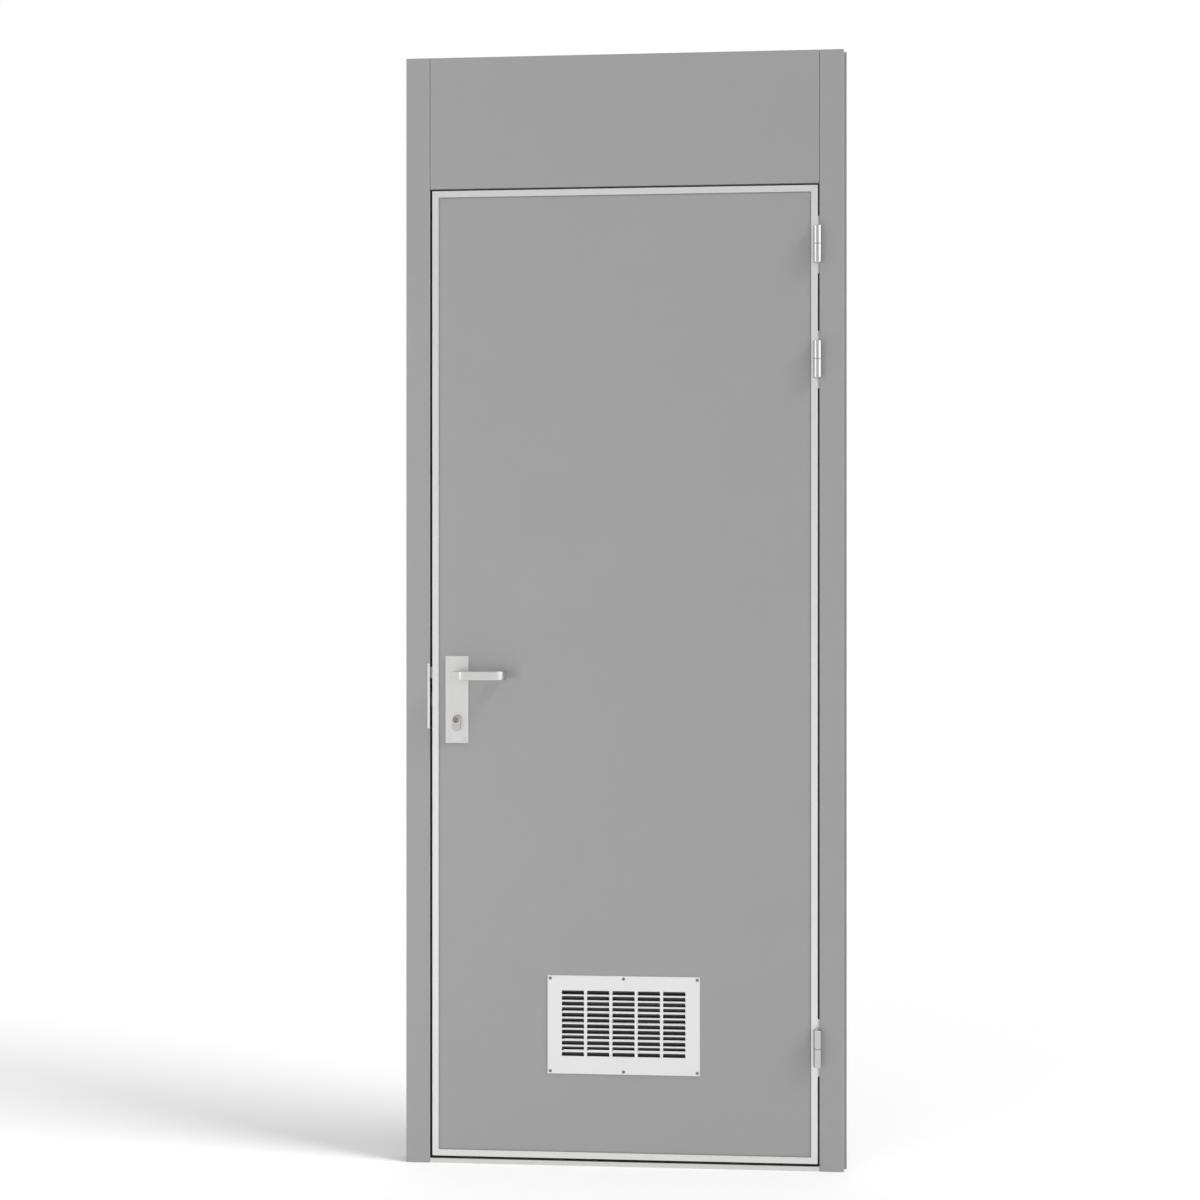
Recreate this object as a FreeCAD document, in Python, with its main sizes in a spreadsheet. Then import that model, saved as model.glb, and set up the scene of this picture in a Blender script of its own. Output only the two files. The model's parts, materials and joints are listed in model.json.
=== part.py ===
import FreeCAD, Part
import os
import re
import Sketcher
from FreeCAD import Placement, Rotation, Vector

# A ship's fire door unit with a ventilation grille, closed and latched.
# Millimetres, +Z up. The origin is under the middle of the sill, halfway through the wall's
# thickness. The door opens towards -Y, where its hinges and this view's lever are.

SIZES = [
    ("UnitWidth", 906, "wall unit over both posts"),
    ("TransomHeight", 273, "panel over the door"),
    ("UnitDepth", 50, "thickness of the wall panels"),
    ("PostWidth", 50, "face of a post"),
    ("SheetThickness", 1.5, "folded steel of posts and sill"),
    ("BendRadius", 2.2, "outside of a fold in that steel"),
    ("TongueReach", 7, "tongue beyond its post"),
    ("TongueWidth", 10, "tongue across"),
    ("TonguePlay", 0.4, "groove wider and deeper than a tongue, each way"),
    ("PostBarThickness", 3, "flat bar that the hinge screws bite in"),
    ("TransomSeam", 0.4, "seam between a post and the panel over the door"),
    ("SillHeight", 10, "threshold above the deck"),
    ("SillHoleRadius", 3.25, "fixing hole in the threshold"),
    ("SillHolePitch", 240, "from one fixing hole to the next"),
    ("SillHoles", 4, "fixing holes"),
    ("LockGap", 5, "leaf to post on the lock side"),
    ("HingeGap", 3.5, "leaf to post on the hinge side"),
    ("HeadGap", 4, "leaf to panel over the door"),
    ("SillGap", 5, "leaf to threshold"),
    ("LeafHeight", 2008, "leaf from edge to edge"),
    ("LeafThickness", 40, "leaf over its edge trims"),
    ("TrimWidth", 13.4, "flange of an edge trim"),
    ("TrimThickness", 1, "stainless steel of an edge trim"),
    ("SkinThickness", 1, "steel skin of the leaf"),
    ("LeafBarThickness", 3, "stiffening bar inside a leaf edge"),
    ("StopReach", 15, "stop beyond the frame's inner face"),
    ("SealSpace", 2, "leaf to stop"),
    ("SealWidth", 10, "rubber seal across"),
    ("SealClearance", 0.3, "leaf to rubber seal"),
    ("StripWidth", 20, "strip that swells in a fire"),
    ("StripThickness", 1.8, "the same strip"),
    ("LowerHingeLevel", 254, "middle of the lowest hinge"),
    ("UpperHingeDrop", 123, "middle of the highest hinge under the leaf's top"),
    ("UpperHingePitch", 235.5, "from the highest hinge down to the second"),
    ("KnuckleRadius", 8, "hinge barrel"),
    ("KnuckleShift", 3, "hinge barrel towards the leaf from the middle of the gap"),
    ("KnuckleHeight", 76, "both knuckles of a barrel together"),
    ("KnuckleStandoff", 0.5, "barrel to the front of the unit"),
    ("KnuckleCap", 1.5, "closed end of a knuckle"),
    ("HingePlateHeight", 117.6, "hinge plate in the gap"),
    ("HingePlateDepth", 32, "hinge plate front to back"),
    ("HingePlateThickness", 1.6, "hinge plate in the gap"),
    ("PinRadius", 4, "hinge pin"),
    ("PinPlay", 0.05, "leaf knuckle larger than the pin"),
    ("WasherThickness", 1, "bearing washer between knuckles"),
    ("WasherPlay", 0.2, "washer to the upper knuckle"),
    ("HingeScrewRadius", 2.5, "shank of a hinge screw"),
    ("HingeScrewHead", 4, "head of a hinge screw"),
    ("HingeScrewLength", 5.4, "hinge screw under its head's face"),
    ("HingeScrewStep", 40, "hinge screw above or below the middle"),
    ("HingeScrewInset", 11.2, "hinge screw to the plate's front or back edge"),
    ("CaseScrewRadius", 2, "shank of a strike or faceplate screw"),
    ("CaseScrewHead", 3.8, "head of a strike or faceplate screw"),
    ("LeverLevel", 1016, "axis of the levers"),
    ("Backset", 52, "lever axis to the leaf's edge"),
    ("LockCentres", 92, "lever axis to cylinder axis"),
    ("BackplateWidth", 48, "long plate behind a lever"),
    ("BackplateHeight", 181, "long plate behind a lever"),
    ("BackplateThickness", 3, "long plate behind a lever"),
    ("BackplateRise", 39.4, "top of the plate above the lever axis"),
    ("BackplateChamfer", 0.8, "edge of the plate"),
    ("PlateScrewInset", 7, "screw to the plate's edges"),
    ("PlateScrewRadius", 1.8, "shank of a plate screw"),
    ("PlateScrewHead", 3.6, "head of a plate screw"),
    ("LeverStandoff", 50, "grip's front to the door's face"),
    ("LeverReach", 105, "lever beyond its axis"),
    ("LeverGripHeight", 18, "grip from top to bottom"),
    ("LeverGripThickness", 9, "grip front to back"),
    ("LeverBendRadius", 23.5, "outside of the bend back to the door"),
    ("LeverEndGap", 9, "end of the grip to the door's face"),
    ("LeverBossRise", 3, "boss in front of the grip"),
    ("LeverBossWidth", 12, "boss beyond the axis"),
    ("LeverBossSlope", 4, "slope from boss to grip"),
    ("LeverChamfer", 1.2, "bevelled edge of the grip"),
    ("LeverCornerRadius", 5, "rounded free corner of the boss"),
    ("LeverEndRadius", 3, "rounded end of the grip"),
    ("NeckRadius", 7.5, "round neck of a lever"),
    ("NeckPlay", 0.1, "hole in the backplate round the neck"),
    ("SpindleSide", 8, "square spindle"),
    ("SpindleDepth", 26, "spindle inside a lever's neck"),
    ("GrubScrewRadius", 2, "screw from under the neck to the spindle"),
    ("GrubScrewDepth", 18.2, "that screw in front of the door's face"),
    ("CaseDepth", 85, "lock case behind its faceplate"),
    ("CaseHeight", 165, "lock case"),
    ("CaseThickness", 16, "lock case"),
    ("CaseWall", 1.5, "steel of the lock case"),
    ("CaseRise", 38, "top of the case above the lever axis"),
    ("FaceplateHeight", 235, "lock faceplate in the leaf's edge"),
    ("FaceplateWidth", 22, "lock faceplate"),
    ("FaceplateThickness", 3, "lock faceplate"),
    ("FollowerRadius", 9, "hub that the spindle turns"),
    ("FollowerPlay", 0.05, "hole in the case larger than the hub"),
    ("ArmHalfWidth", 2, "arm of the follower"),
    ("ArmReach", 14.5, "arm from the lever axis"),
    ("LatchThrow", 12, "latch bolt beyond the leaf's edge"),
    ("LatchHeight", 24, "latch bolt"),
    ("LatchThickness", 12, "latch bolt"),
    ("LatchHeadLength", 25, "head of the latch bolt"),
    ("LatchDrop", 8, "foot of the latch bolt under the lever axis"),
    ("LatchTailHeight", 6, "tail of the latch bolt"),
    ("LugRadius", 1.5, "lug that the arm pushes"),
    ("LugPlay", 0.2, "arm to lug at rest"),
    ("SpringRise", 4, "folds of the latch spring above and below its middle"),
    ("SpringWidth", 6, "band of the latch spring"),
    ("SpringThickness", 0.7, "band of the latch spring"),
    ("SpringRibThickness", 1.5, "rib that the spring leans on"),
    ("DeadboltDrop", 53, "middle of the deadbolt under the lever axis"),
    ("DeadboltHeight", 30, "deadbolt"),
    ("DeadboltThickness", 10, "deadbolt"),
    ("DeadboltLength", 52, "deadbolt"),
    ("DeadboltInset", 0.5, "deadbolt behind the leaf's edge when drawn in"),
    ("BoltPlay", 0.15, "bolt to its slot in the lock, each side"),
    ("StrikePlay", 0.8, "bolt to its hole in the strike plate, each side"),
    ("StrikeHeight", 135, "strike plate"),
    ("StrikeLevel", 972, "middle of the strike plate"),
    ("StrikeDepth", 33, "strike plate along the post's inner face"),
    ("StrikeThickness", 1.5, "strike plate"),
    ("StrikeLip", 5, "lip on the post's front"),
    ("StrikeLipRise", 1, "lip in front of the post"),
    ("StrikeBoxDepth", 24, "box behind the strike plate"),
    ("StrikeBoxWidth", 24, "box behind the strike plate"),
    ("StrikeBoxWall", 2, "wall of that box"),
    ("StrikeScrewLength", 12, "strike screw"),
    ("FaceScrewInset", 9, "faceplate screw to the plate's end"),
    ("CylinderRadius", 8.5, "round head of the cylinder's profile"),
    ("CylinderHeight", 33, "profile from top to bottom"),
    ("CylinderLegWidth", 17, "lower part of the profile"),
    ("CylinderReach", 14, "cylinder in front of a backplate"),
    ("CylinderPlay", 0.2, "hole round the cylinder"),
    ("CylinderBridge", 7.5, "height of the bridge under the cam"),
    ("PlugRadius", 6.5, "turning plug"),
    ("PlugPlay", 0.05, "bore larger than the plug"),
    ("KeywayWidth", 1.4, "keyway"),
    ("KeywayDrop", 5.6, "foot of the keyway under the axis"),
    ("KeywayRise", 2.4, "top of the keyway above the axis"),
    ("CamRadius", 15.5, "tip of the cam from the cylinder axis"),
    ("CamWidth", 10, "slot for the cam"),
    ("CamPlay", 0.2, "cam to that slot, each side"),
    ("TurnReach", 20, "thumb turn in front of the cylinder"),
    ("TurnShaftReach", 5, "its round shaft in front of the cylinder"),
    ("TurnHeight", 26, "thumb turn across its wing"),
    ("TurnThickness", 7, "wing of the thumb turn"),
    ("CylinderScrewRadius", 2.5, "long screw that holds the cylinder"),
    ("CylinderScrewHead", 4.6, "head of that screw"),
    ("GrilleWidth", 315, "plate of the ventilation grille"),
    ("GrilleHeight", 203, "plate of the ventilation grille"),
    ("GrilleThickness", 2, "plate of the ventilation grille"),
    ("GrilleLevel", 292.5, "middle of the grille above the deck"),
    ("GrilleRise", 3, "middle of the slots above the middle of the plate"),
    ("SlotLength", 46.5, "ventilation slot"),
    ("SlotHeight", 7.3, "ventilation slot"),
    ("SlotSlant", 0.8, "slot's foot wider than its top, each side"),
    ("SlotColumns", 5, "slots side by side"),
    ("SlotRows", 12, "slots above each other"),
    ("SlotColumnPitch", 52.4, "from one column to the next"),
    ("SlotRowPitch", 11.6, "from one row to the next"),
    ("LouvreDepth", 4.5, "louvre behind the plate"),
    ("LouvreThickness", 1.2, "louvre"),
    ("GrilleScrewInset", 5.5, "screw to the plate's edges"),
    ("GrilleScrewRadius", 1.8, "shank of a grille screw"),
    ("GrilleScrewHead", 3.3, "head of a grille screw"),
    ("VentWidth", 275, "opening in the leaf behind the grille"),
    ("VentHeight", 154, "opening in the leaf behind the grille"),
    ("SleeveThickness", 1.5, "steel sleeve in that opening"),
    ("DamperDepth", 26, "block of slats that swell in a fire"),
    ("DamperSlots", 7, "air slots between the slats"),
    ("DamperSlatPitch", 20, "from one slat to the next"),
    ("DamperSlotHeight", 12, "air slot between two slats"),
    ("DamperRim", 8, "rim at the ends of the slats"),
]

PLACES = [
    ("HalfWidth", "UnitWidth / 2"),
    ("FrontFace", "-UnitDepth / 2"),
    ("BackFace", "UnitDepth / 2"),
    ("PostInner", "HalfWidth - PostWidth"),
    ("GrooveHalf", "TongueWidth / 2 + TonguePlay"),
    ("GrooveFloor", "HalfWidth - TongueReach - TonguePlay"),
    ("LeafLeft", "-PostInner + LockGap"),
    ("LeafRight", "PostInner - HingeGap"),
    ("LeafBottom", "SillHeight + SillGap"),
    ("LeafTop", "LeafBottom + LeafHeight"),
    ("LeafBack", "FrontFace + LeafThickness"),
    ("MiddleX", "(LeafLeft + LeafRight) / 2"),
    ("MiddleY", "(FrontFace + LeafBack) / 2"),
    ("HeadLevel", "LeafTop + HeadGap"),
    ("UnitHeight", "HeadLevel + TransomHeight"),
    ("UpperHingeLevel", "LeafTop - UpperHingeDrop"),
    ("MiddleHingeLevel", "UpperHingeLevel - UpperHingePitch"),
    ("StopFront", "LeafBack + SealSpace"),
    ("StopInner", "PostInner - StopReach"),
    ("SealEdge", "(StopReach - SealWidth) / 2"),
    ("SkinFront", "FrontFace + TrimThickness"),
    ("SkinBack", "LeafBack - TrimThickness"),
    ("CoreFront", "SkinFront + SkinThickness"),
    ("CoreBack", "SkinBack - SkinThickness"),
    ("CoreLeft", "LeafLeft + TrimThickness + LeafBarThickness"),
    ("CoreRight", "LeafRight - TrimThickness - LeafBarThickness"),
    ("CoreBottom", "LeafBottom + TrimThickness"),
    ("CoreTop", "LeafTop - TrimThickness"),
    ("HingeX", "(LeafRight + PostInner) / 2 - KnuckleShift"),
    ("HingeY", "FrontFace - KnuckleRadius - KnuckleStandoff"),
    ("LeverX", "LeafLeft + Backset"),
    ("CylinderLevel", "LeverLevel - LockCentres"),
    ("BackplateTop", "LeverLevel + BackplateRise"),
    ("BackplateBottom", "BackplateTop - BackplateHeight"),
    ("CaseLeft", "LeafLeft + FaceplateThickness"),
    ("CaseRight", "CaseLeft + CaseDepth"),
    ("CaseTop", "LeverLevel + CaseRise"),
    ("CaseBottom", "CaseTop - CaseHeight"),
    ("CaseFront", "MiddleY - CaseThickness / 2"),
    ("CaseBack", "MiddleY + CaseThickness / 2"),
    ("FaceplateBottom", "(CaseTop + CaseBottom - FaceplateHeight) / 2"),
    ("FaceplateTop", "FaceplateBottom + FaceplateHeight"),
    ("LatchBottom", "LeverLevel - LatchDrop"),
    ("LatchTop", "LatchBottom + LatchHeight"),
    ("LatchRear", "LeafLeft - LatchThrow + LatchHeadLength"),
    ("LugX", "LeverX + ArmHalfWidth + LugRadius + LugPlay"),
    ("LugLevel", "LatchTop - LatchTailHeight / 2"),
    ("SpringRib", "LeverX - FollowerRadius - 2 * SpringRibThickness"),
    ("DeadboltBottom", "LeverLevel - DeadboltDrop - DeadboltHeight / 2"),
    ("DeadboltTop", "DeadboltBottom + DeadboltHeight"),
    ("StrikeBottom", "StrikeLevel - StrikeHeight / 2"),
    ("StrikeTop", "StrikeLevel + StrikeHeight / 2"),
    ("StrikeBack", "-PostInner - StrikeThickness"),
    ("BoxEnd", "StrikeBack - StrikeBoxDepth"),
    ("CylinderFront", "SkinFront - BackplateThickness - CylinderReach"),
    ("CylinderBack", "SkinBack + BackplateThickness + CylinderReach"),
    ("CylinderFoot", "CylinderLevel + CylinderRadius - CylinderHeight"),
    ("GrilleLeft", "MiddleX - GrilleWidth / 2"),
    ("GrilleRight", "MiddleX + GrilleWidth / 2"),
    ("GrilleBottom", "GrilleLevel - GrilleHeight / 2"),
    ("GrilleTop", "GrilleLevel + GrilleHeight / 2"),
    ("VentLeft", "MiddleX - VentWidth / 2"),
    ("VentRight", "MiddleX + VentWidth / 2"),
    ("VentBottom", "GrilleLevel + GrilleRise - VentHeight / 2"),
    ("VentTop", "VentBottom + VentHeight"),
]

doc = FreeCAD.newDocument("FireDoor")
sheet = doc.addObject("Spreadsheet::Sheet", "Sizes")
row = 0
for alias, number, meaning in SIZES:
    row += 1
    sheet.set(f"A{row}", meaning)
    sheet.set(f"B{row}", str(number))
    sheet.setAlias(f"B{row}", alias)
for alias, formula in PLACES:
    row += 1
    sheet.set(f"A{row}", "worked out")
    sheet.set(f"B{row}", "=" + formula)
    sheet.setAlias(f"B{row}", alias)
doc.recompute()


def linked(formula):
    """The formula with each size written as a reference to its cell."""
    return re.sub(r"\b[A-Z]\w+", lambda word: "Sizes." + word.group(), str(formula))


def value(formula):
    """The number that a formula of sizes gives."""
    return float(sheet.evalExpression(str(formula)))


def block(name, x, y, z):
    """A rectangular solid from a low to a high value on each axis."""
    solid = doc.addObject("Part::Box", name)
    for size, axis, (low, high) in (("Length", "x", x), ("Width", "y", y), ("Height", "z", z)):
        solid.setExpression(size, linked(f"({high}) - ({low})"))
        solid.setExpression(f"Placement.Base.{axis}", linked(low))
    return solid


AXIS_TURNS = {
    "x": Rotation(Vector(0, 1, 0), 90),
    "y": Rotation(Vector(1, 0, 0), -90),
    "z": Rotation(),
}


def set_along(solid, axis, low, centre):
    """Lays a turned solid along an axis, from a low value, round a centre on the other two."""
    solid.Placement = Placement(Vector(), AXIS_TURNS[axis])
    spots = dict(zip([name for name in "xyz" if name != axis], centre))
    spots[axis] = low
    for name, formula in spots.items():
        solid.setExpression(f"Placement.Base.{name}", linked(formula))


def rod(name, axis, radius, low, high, centre):
    """A round bar along an axis."""
    solid = doc.addObject("Part::Cylinder", name)
    set_along(solid, axis, low, centre)
    solid.setExpression("Radius", linked(radius))
    solid.setExpression("Height", linked(f"({high}) - ({low})"))
    return solid


def fuse(name, *items):
    joined = doc.addObject("Part::MultiFuse", name)
    joined.Shapes = list(items)
    joined.Refine = True
    return joined


def group(name, *items):
    together = doc.addObject("Part::Compound", name)
    together.Links = list(items)
    return together


def cut(name, base, *tools):
    """The base without its tools."""
    result = doc.addObject("Part::Cut", name)
    result.Base = base
    result.Tool = tools[0] if len(tools) == 1 else group(name + "_tools", *tools)
    return result


def origin_plane(body, role):
    return [plane for plane in body.Origin.OriginFeatures if plane.Role == role][0]


def sketch_at(body, plane, level):
    """An empty sketch on a plane of the body's origin, moved to a level along its axis."""
    sketch = body.newObject("Sketcher::SketchObject", body.Name + "_sketch")
    sketch.AttachmentSupport = [(origin_plane(body, plane), "")]
    sketch.MapMode = "FlatFace"
    sign = "-" if plane == "XZ_Plane" else ""
    sketch.setExpression("AttachmentOffset.Base.z", linked(f"{sign}({level})"))
    return sketch


def pin_point(sketch, edge, end, point):
    """Holds a point of a sketch at two formulas from its origin."""
    for kind, formula in zip(("DistanceX", "DistanceY"), point):
        constraint = Sketcher.Constraint(kind, -1, 1, edge, end, value(formula))
        number = sketch.addConstraint(constraint)
        sketch.setExpression(f"Constraints[{number}]", linked(formula))


def draw_outline(sketch, points):
    """A closed outline of straight edges through the points."""
    first = sketch.GeometryCount
    spots = [Vector(value(a), value(b), 0) for a, b in points]
    for start, end in zip(spots, spots[1:] + spots[:1]):
        sketch.addGeometry(Part.LineSegment(start, end), False)
    for number, point in enumerate(points):
        following = first + (number + 1) % len(points)
        sketch.addConstraint(Sketcher.Constraint("Coincident", first + number, 2, following, 1))
        pin_point(sketch, first + number, 1, point)


def rectangle(a, b):
    """The outline of a rectangle from its low and high values."""
    return [(a[0], b[0]), (a[1], b[0]), (a[1], b[1]), (a[0], b[1])]


def prism(body, plane, points, low, high):
    """Adds an outline's prism between two levels."""
    sketch = sketch_at(body, plane, high if plane == "XZ_Plane" else low)
    draw_outline(sketch, points)
    pad = body.newObject("PartDesign::Pad", body.Name + "_pad")
    pad.Profile = sketch
    pad.setExpression("Length", linked(f"({high}) - ({low})"))
    sketch.Visibility = False
    return pad


pockets = []


def cutout(body, plane, points, low, high):
    """Takes an outline's prism between two levels out of the body."""
    base = body.Tip
    sketch = sketch_at(body, plane, low if plane == "XZ_Plane" else high)
    draw_outline(sketch, points)
    pocket = body.newObject("PartDesign::Pocket", body.Name + "_pocket")
    pocket.Profile = sketch
    pocket.setExpression("Length", linked(f"({high}) - ({low})"))
    sketch.Visibility = False
    pockets.append((pocket, base))
    return pocket


def edges_along(shape, axis, spots):
    """Names of the straight edges along an axis whose middle is at one of the spots.

    A spot gives the other two coordinates, and None stands for any value."""
    along = "xyz".index(axis)
    others = [number for number in range(3) if number != along]
    names = []
    for number, edge in enumerate(shape.Edges):
        if edge.Curve.TypeId != "Part::GeomLine":
            continue
        if abs(abs(edge.Curve.Direction[along]) - 1) > 1e-6:
            continue
        middle = edge.CenterOfMass
        for spot in spots:
            gaps = [abs(middle[o] - value(s)) for o, s in zip(others, spot) if s is not None]
            if max(gaps) < 0.01:
                names.append(f"Edge{number + 1}")
    return sorted(set(names))


def rounded(body, axis, spots, radius):
    """Rounds the straight edges of the body's last feature at the spots."""
    doc.recompute()
    base = body.Tip
    names = edges_along(base.Shape, axis, spots)
    fillet = body.newObject("PartDesign::Fillet", body.Name + "_fillet")
    fillet.Base = (base, names)
    fillet.setExpression("Radius", linked(radius))
    return fillet


def chamfered(body, names, size):
    base = body.Tip
    chamfer = body.newObject("PartDesign::Chamfer", body.Name + "_chamfer")
    chamfer.Base = (base, names)
    chamfer.setExpression("Size", linked(size))
    return chamfer


HEAD_SIDES = 12
SHANK_SIDES = 6


def sunk_screws(name, axis, face, inward, centres, kind, length):
    """A group of screws with their heads let in flush, at one value of an axis.

    Heads and shanks are prisms, because there are so many of them."""
    pieces = []
    for number, centre in enumerate(centres):
        for part, sides, radius, reach in (
            ("head", HEAD_SIDES, f"{kind}Head", f"({kind}Head - {kind}Radius)"),
            ("shank", SHANK_SIDES, f"{kind}Radius", f"({length})"),
        ):
            prism_part = doc.addObject("Part::Prism", f"{name}_{part}{number}")
            set_along(prism_part, axis, face if inward > 0 else f"{face} - {reach}", centre)
            prism_part.Polygon = sides
            prism_part.setExpression("Circumradius", linked(radius))
            prism_part.setExpression("Height", linked(reach))
            pieces.append(prism_part)
    return fuse(name, *pieces)


nodes = []


def node(item):
    """Notes a finished sub-part, whose label names its file."""
    nodes.append(item)
    return item


# Posts: folded steel boxes, full height. The lock post has a groove for the next panel's
# tongue, the hinge post has the tongue.

lock_post = doc.addObject("PartDesign::Body", "lock_post")
prism(lock_post, "XY_Plane", [
    ("-HalfWidth", "FrontFace"),
    ("-PostInner", "FrontFace"),
    ("-PostInner", "BackFace"),
    ("-HalfWidth", "BackFace"),
    ("-HalfWidth", "GrooveHalf"),
    ("-GrooveFloor", "GrooveHalf"),
    ("-GrooveFloor", "-GrooveHalf"),
    ("-HalfWidth", "-GrooveHalf"),
], "0", "UnitHeight")
rounded(lock_post, "z", [
    ("-HalfWidth", "FrontFace"),
    ("-PostInner", "FrontFace"),
    ("-PostInner", "BackFace"),
    ("-HalfWidth", "BackFace"),
], "BendRadius")
cutout(lock_post, "XY_Plane", [
    ("-HalfWidth + SheetThickness", "FrontFace + SheetThickness"),
    ("-PostInner - SheetThickness", "FrontFace + SheetThickness"),
    ("-PostInner - SheetThickness", "BackFace - SheetThickness"),
    ("-HalfWidth + SheetThickness", "BackFace - SheetThickness"),
    ("-HalfWidth + SheetThickness", "GrooveHalf + SheetThickness"),
    ("-GrooveFloor + SheetThickness", "GrooveHalf + SheetThickness"),
    ("-GrooveFloor + SheetThickness", "-GrooveHalf - SheetThickness"),
    ("-HalfWidth + SheetThickness", "-GrooveHalf - SheetThickness"),
], "0", "UnitHeight")
cutout(
    lock_post, "XY_Plane",
    rectangle(("StrikeBack", "-PostInner"), ("FrontFace", "FrontFace + StrikeDepth")),
    "StrikeBottom", "StrikeTop",
)
cutout(
    lock_post, "XY_Plane",
    rectangle(
        ("-PostInner - StrikeLip", "-PostInner"),
        ("FrontFace", "FrontFace + StrikeThickness - StrikeLipRise"),
    ),
    "StrikeBottom", "StrikeTop",
)
node(lock_post)

post_inside = ("FrontFace + SheetThickness", "BackFace - SheetThickness")
full_height = ("0", "UnitHeight")
core_face = "-PostInner - SheetThickness"
core_heart = "-GrooveFloor + SheetThickness"
node(group(
    "lock_post_core",
    block("lock_core_low", (core_heart, core_face), post_inside, ("0", "StrikeBottom")),
    block("lock_core_high", (core_heart, core_face), post_inside, ("StrikeTop", "UnitHeight")),
    block("lock_core_strike", (core_heart, "BoxEnd"), post_inside, ("StrikeBottom", "StrikeTop")),
    block(
        "lock_core_front", ("-HalfWidth + SheetThickness", core_heart),
        (post_inside[0], "-GrooveHalf - SheetThickness"), full_height,
    ),
    block(
        "lock_core_back", ("-HalfWidth + SheetThickness", core_heart),
        ("GrooveHalf + SheetThickness", post_inside[1]), full_height,
    ),
))

hinge_post_blank = doc.addObject("PartDesign::Body", "hinge_post_blank")
prism(hinge_post_blank, "XY_Plane", [
    ("HalfWidth", "FrontFace"),
    ("HalfWidth", "-TongueWidth / 2"),
    ("HalfWidth + TongueReach", "-TongueWidth / 2"),
    ("HalfWidth + TongueReach", "TongueWidth / 2"),
    ("HalfWidth", "TongueWidth / 2"),
    ("HalfWidth", "BackFace"),
    ("PostInner", "BackFace"),
    ("PostInner", "FrontFace"),
], "0", "UnitHeight")
rounded(hinge_post_blank, "z", [
    ("HalfWidth", "FrontFace"),
    ("PostInner", "FrontFace"),
    ("PostInner", "BackFace"),
    ("HalfWidth", "BackFace"),
], "BendRadius")
cutout(hinge_post_blank, "XY_Plane", [
    ("HalfWidth - SheetThickness", "FrontFace + SheetThickness"),
    ("HalfWidth - SheetThickness", "-TongueWidth / 2 + SheetThickness"),
    ("HalfWidth + TongueReach - SheetThickness", "-TongueWidth / 2 + SheetThickness"),
    ("HalfWidth + TongueReach - SheetThickness", "TongueWidth / 2 - SheetThickness"),
    ("HalfWidth - SheetThickness", "TongueWidth / 2 - SheetThickness"),
    ("HalfWidth - SheetThickness", "BackFace - SheetThickness"),
    ("PostInner + SheetThickness", "BackFace - SheetThickness"),
    ("PostInner + SheetThickness", "FrontFace + SheetThickness"),
], "0", "UnitHeight")

bar_end = "PostInner + SheetThickness + PostBarThickness"
node(group(
    "hinge_post_core",
    block("hinge_core_main", (bar_end, "HalfWidth - SheetThickness"), post_inside, full_height),
    block(
        "hinge_core_tongue",
        ("HalfWidth - SheetThickness", "HalfWidth + TongueReach - SheetThickness"),
        ("-TongueWidth / 2 + SheetThickness", "TongueWidth / 2 - SheetThickness"), full_height,
    ),
))
hinge_bar_blank = block(
    "hinge_bar_blank", ("PostInner + SheetThickness", bar_end), post_inside, full_height,
)

# Panel over the door: a folded steel casing round mineral wool, with a seam at each post.

transom_ends = ("-PostInner + TransomSeam", "PostInner - TransomSeam")
transom_casing = doc.addObject("PartDesign::Body", "transom_casing")
prism(
    transom_casing, "XY_Plane", rectangle(transom_ends, ("FrontFace", "BackFace")),
    "HeadLevel", "UnitHeight",
)
rounded(transom_casing, "z", [(end, "FrontFace") for end in transom_ends], "BendRadius / 2")
cutout(
    transom_casing, "YZ_Plane",
    rectangle(post_inside, ("HeadLevel + SheetThickness", "UnitHeight - SheetThickness")),
    *transom_ends,
)
node(transom_casing)
node(block(
    "transom_core", transom_ends, post_inside,
    ("HeadLevel + SheetThickness", "UnitHeight - SheetThickness"),
))

# Threshold: a stainless channel whose back edge stands up as a stop, over a filler board.

threshold_blank = doc.addObject("PartDesign::Body", "threshold_blank")
prism(threshold_blank, "YZ_Plane", [
    ("FrontFace", "0"),
    ("FrontFace", "SillHeight"),
    ("StopFront", "SillHeight"),
    ("StopFront", "SillHeight + StopReach"),
    ("BackFace", "SillHeight + StopReach"),
    ("BackFace", "0"),
    ("BackFace - SheetThickness", "0"),
    ("BackFace - SheetThickness", "SillHeight + StopReach - SheetThickness"),
    ("StopFront + SheetThickness", "SillHeight + StopReach - SheetThickness"),
    ("StopFront + SheetThickness", "SillHeight - SheetThickness"),
    ("FrontFace + SheetThickness", "SillHeight - SheetThickness"),
    ("FrontFace + SheetThickness", "0"),
], "-PostInner", "PostInner")
rounded(threshold_blank, "x", [("FrontFace", "SillHeight")], "SheetThickness / 2")

sill_hole_places = [
    f"SillHolePitch * ({number} - (SillHoles - 1) / 2)"
    for number in range(round(value("SillHoles")))
]
sill_holes = [
    rod(
        f"sill_hole{number}", "z", "SillHoleRadius", "0", "SillHeight", (place, "MiddleY"),
    )
    for number, place in enumerate(sill_hole_places)
]
node(cut("threshold", threshold_blank, *sill_holes))
sill_board = block(
    "sill_board", ("-PostInner", "PostInner"), post_inside, ("0", "SillHeight - SheetThickness"),
)
sill_upstand = block(
    "sill_upstand", ("-PostInner", "PostInner"),
    ("StopFront + SheetThickness", "BackFace - SheetThickness"),
    ("SillHeight - SheetThickness", "SillHeight + StopReach - SheetThickness"),
)
board_holes = [
    block(
        f"board_hole{number}", (f"{place} - SillHoleRadius", f"{place} + SillHoleRadius"),
        ("MiddleY - SillHoleRadius", "MiddleY + SillHoleRadius"), ("0", "SillHeight"),
    )
    for number, place in enumerate(sill_hole_places)
]
node(group("threshold_core", cut("sill_board_drilled", sill_board, *board_holes), sill_upstand))

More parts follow.
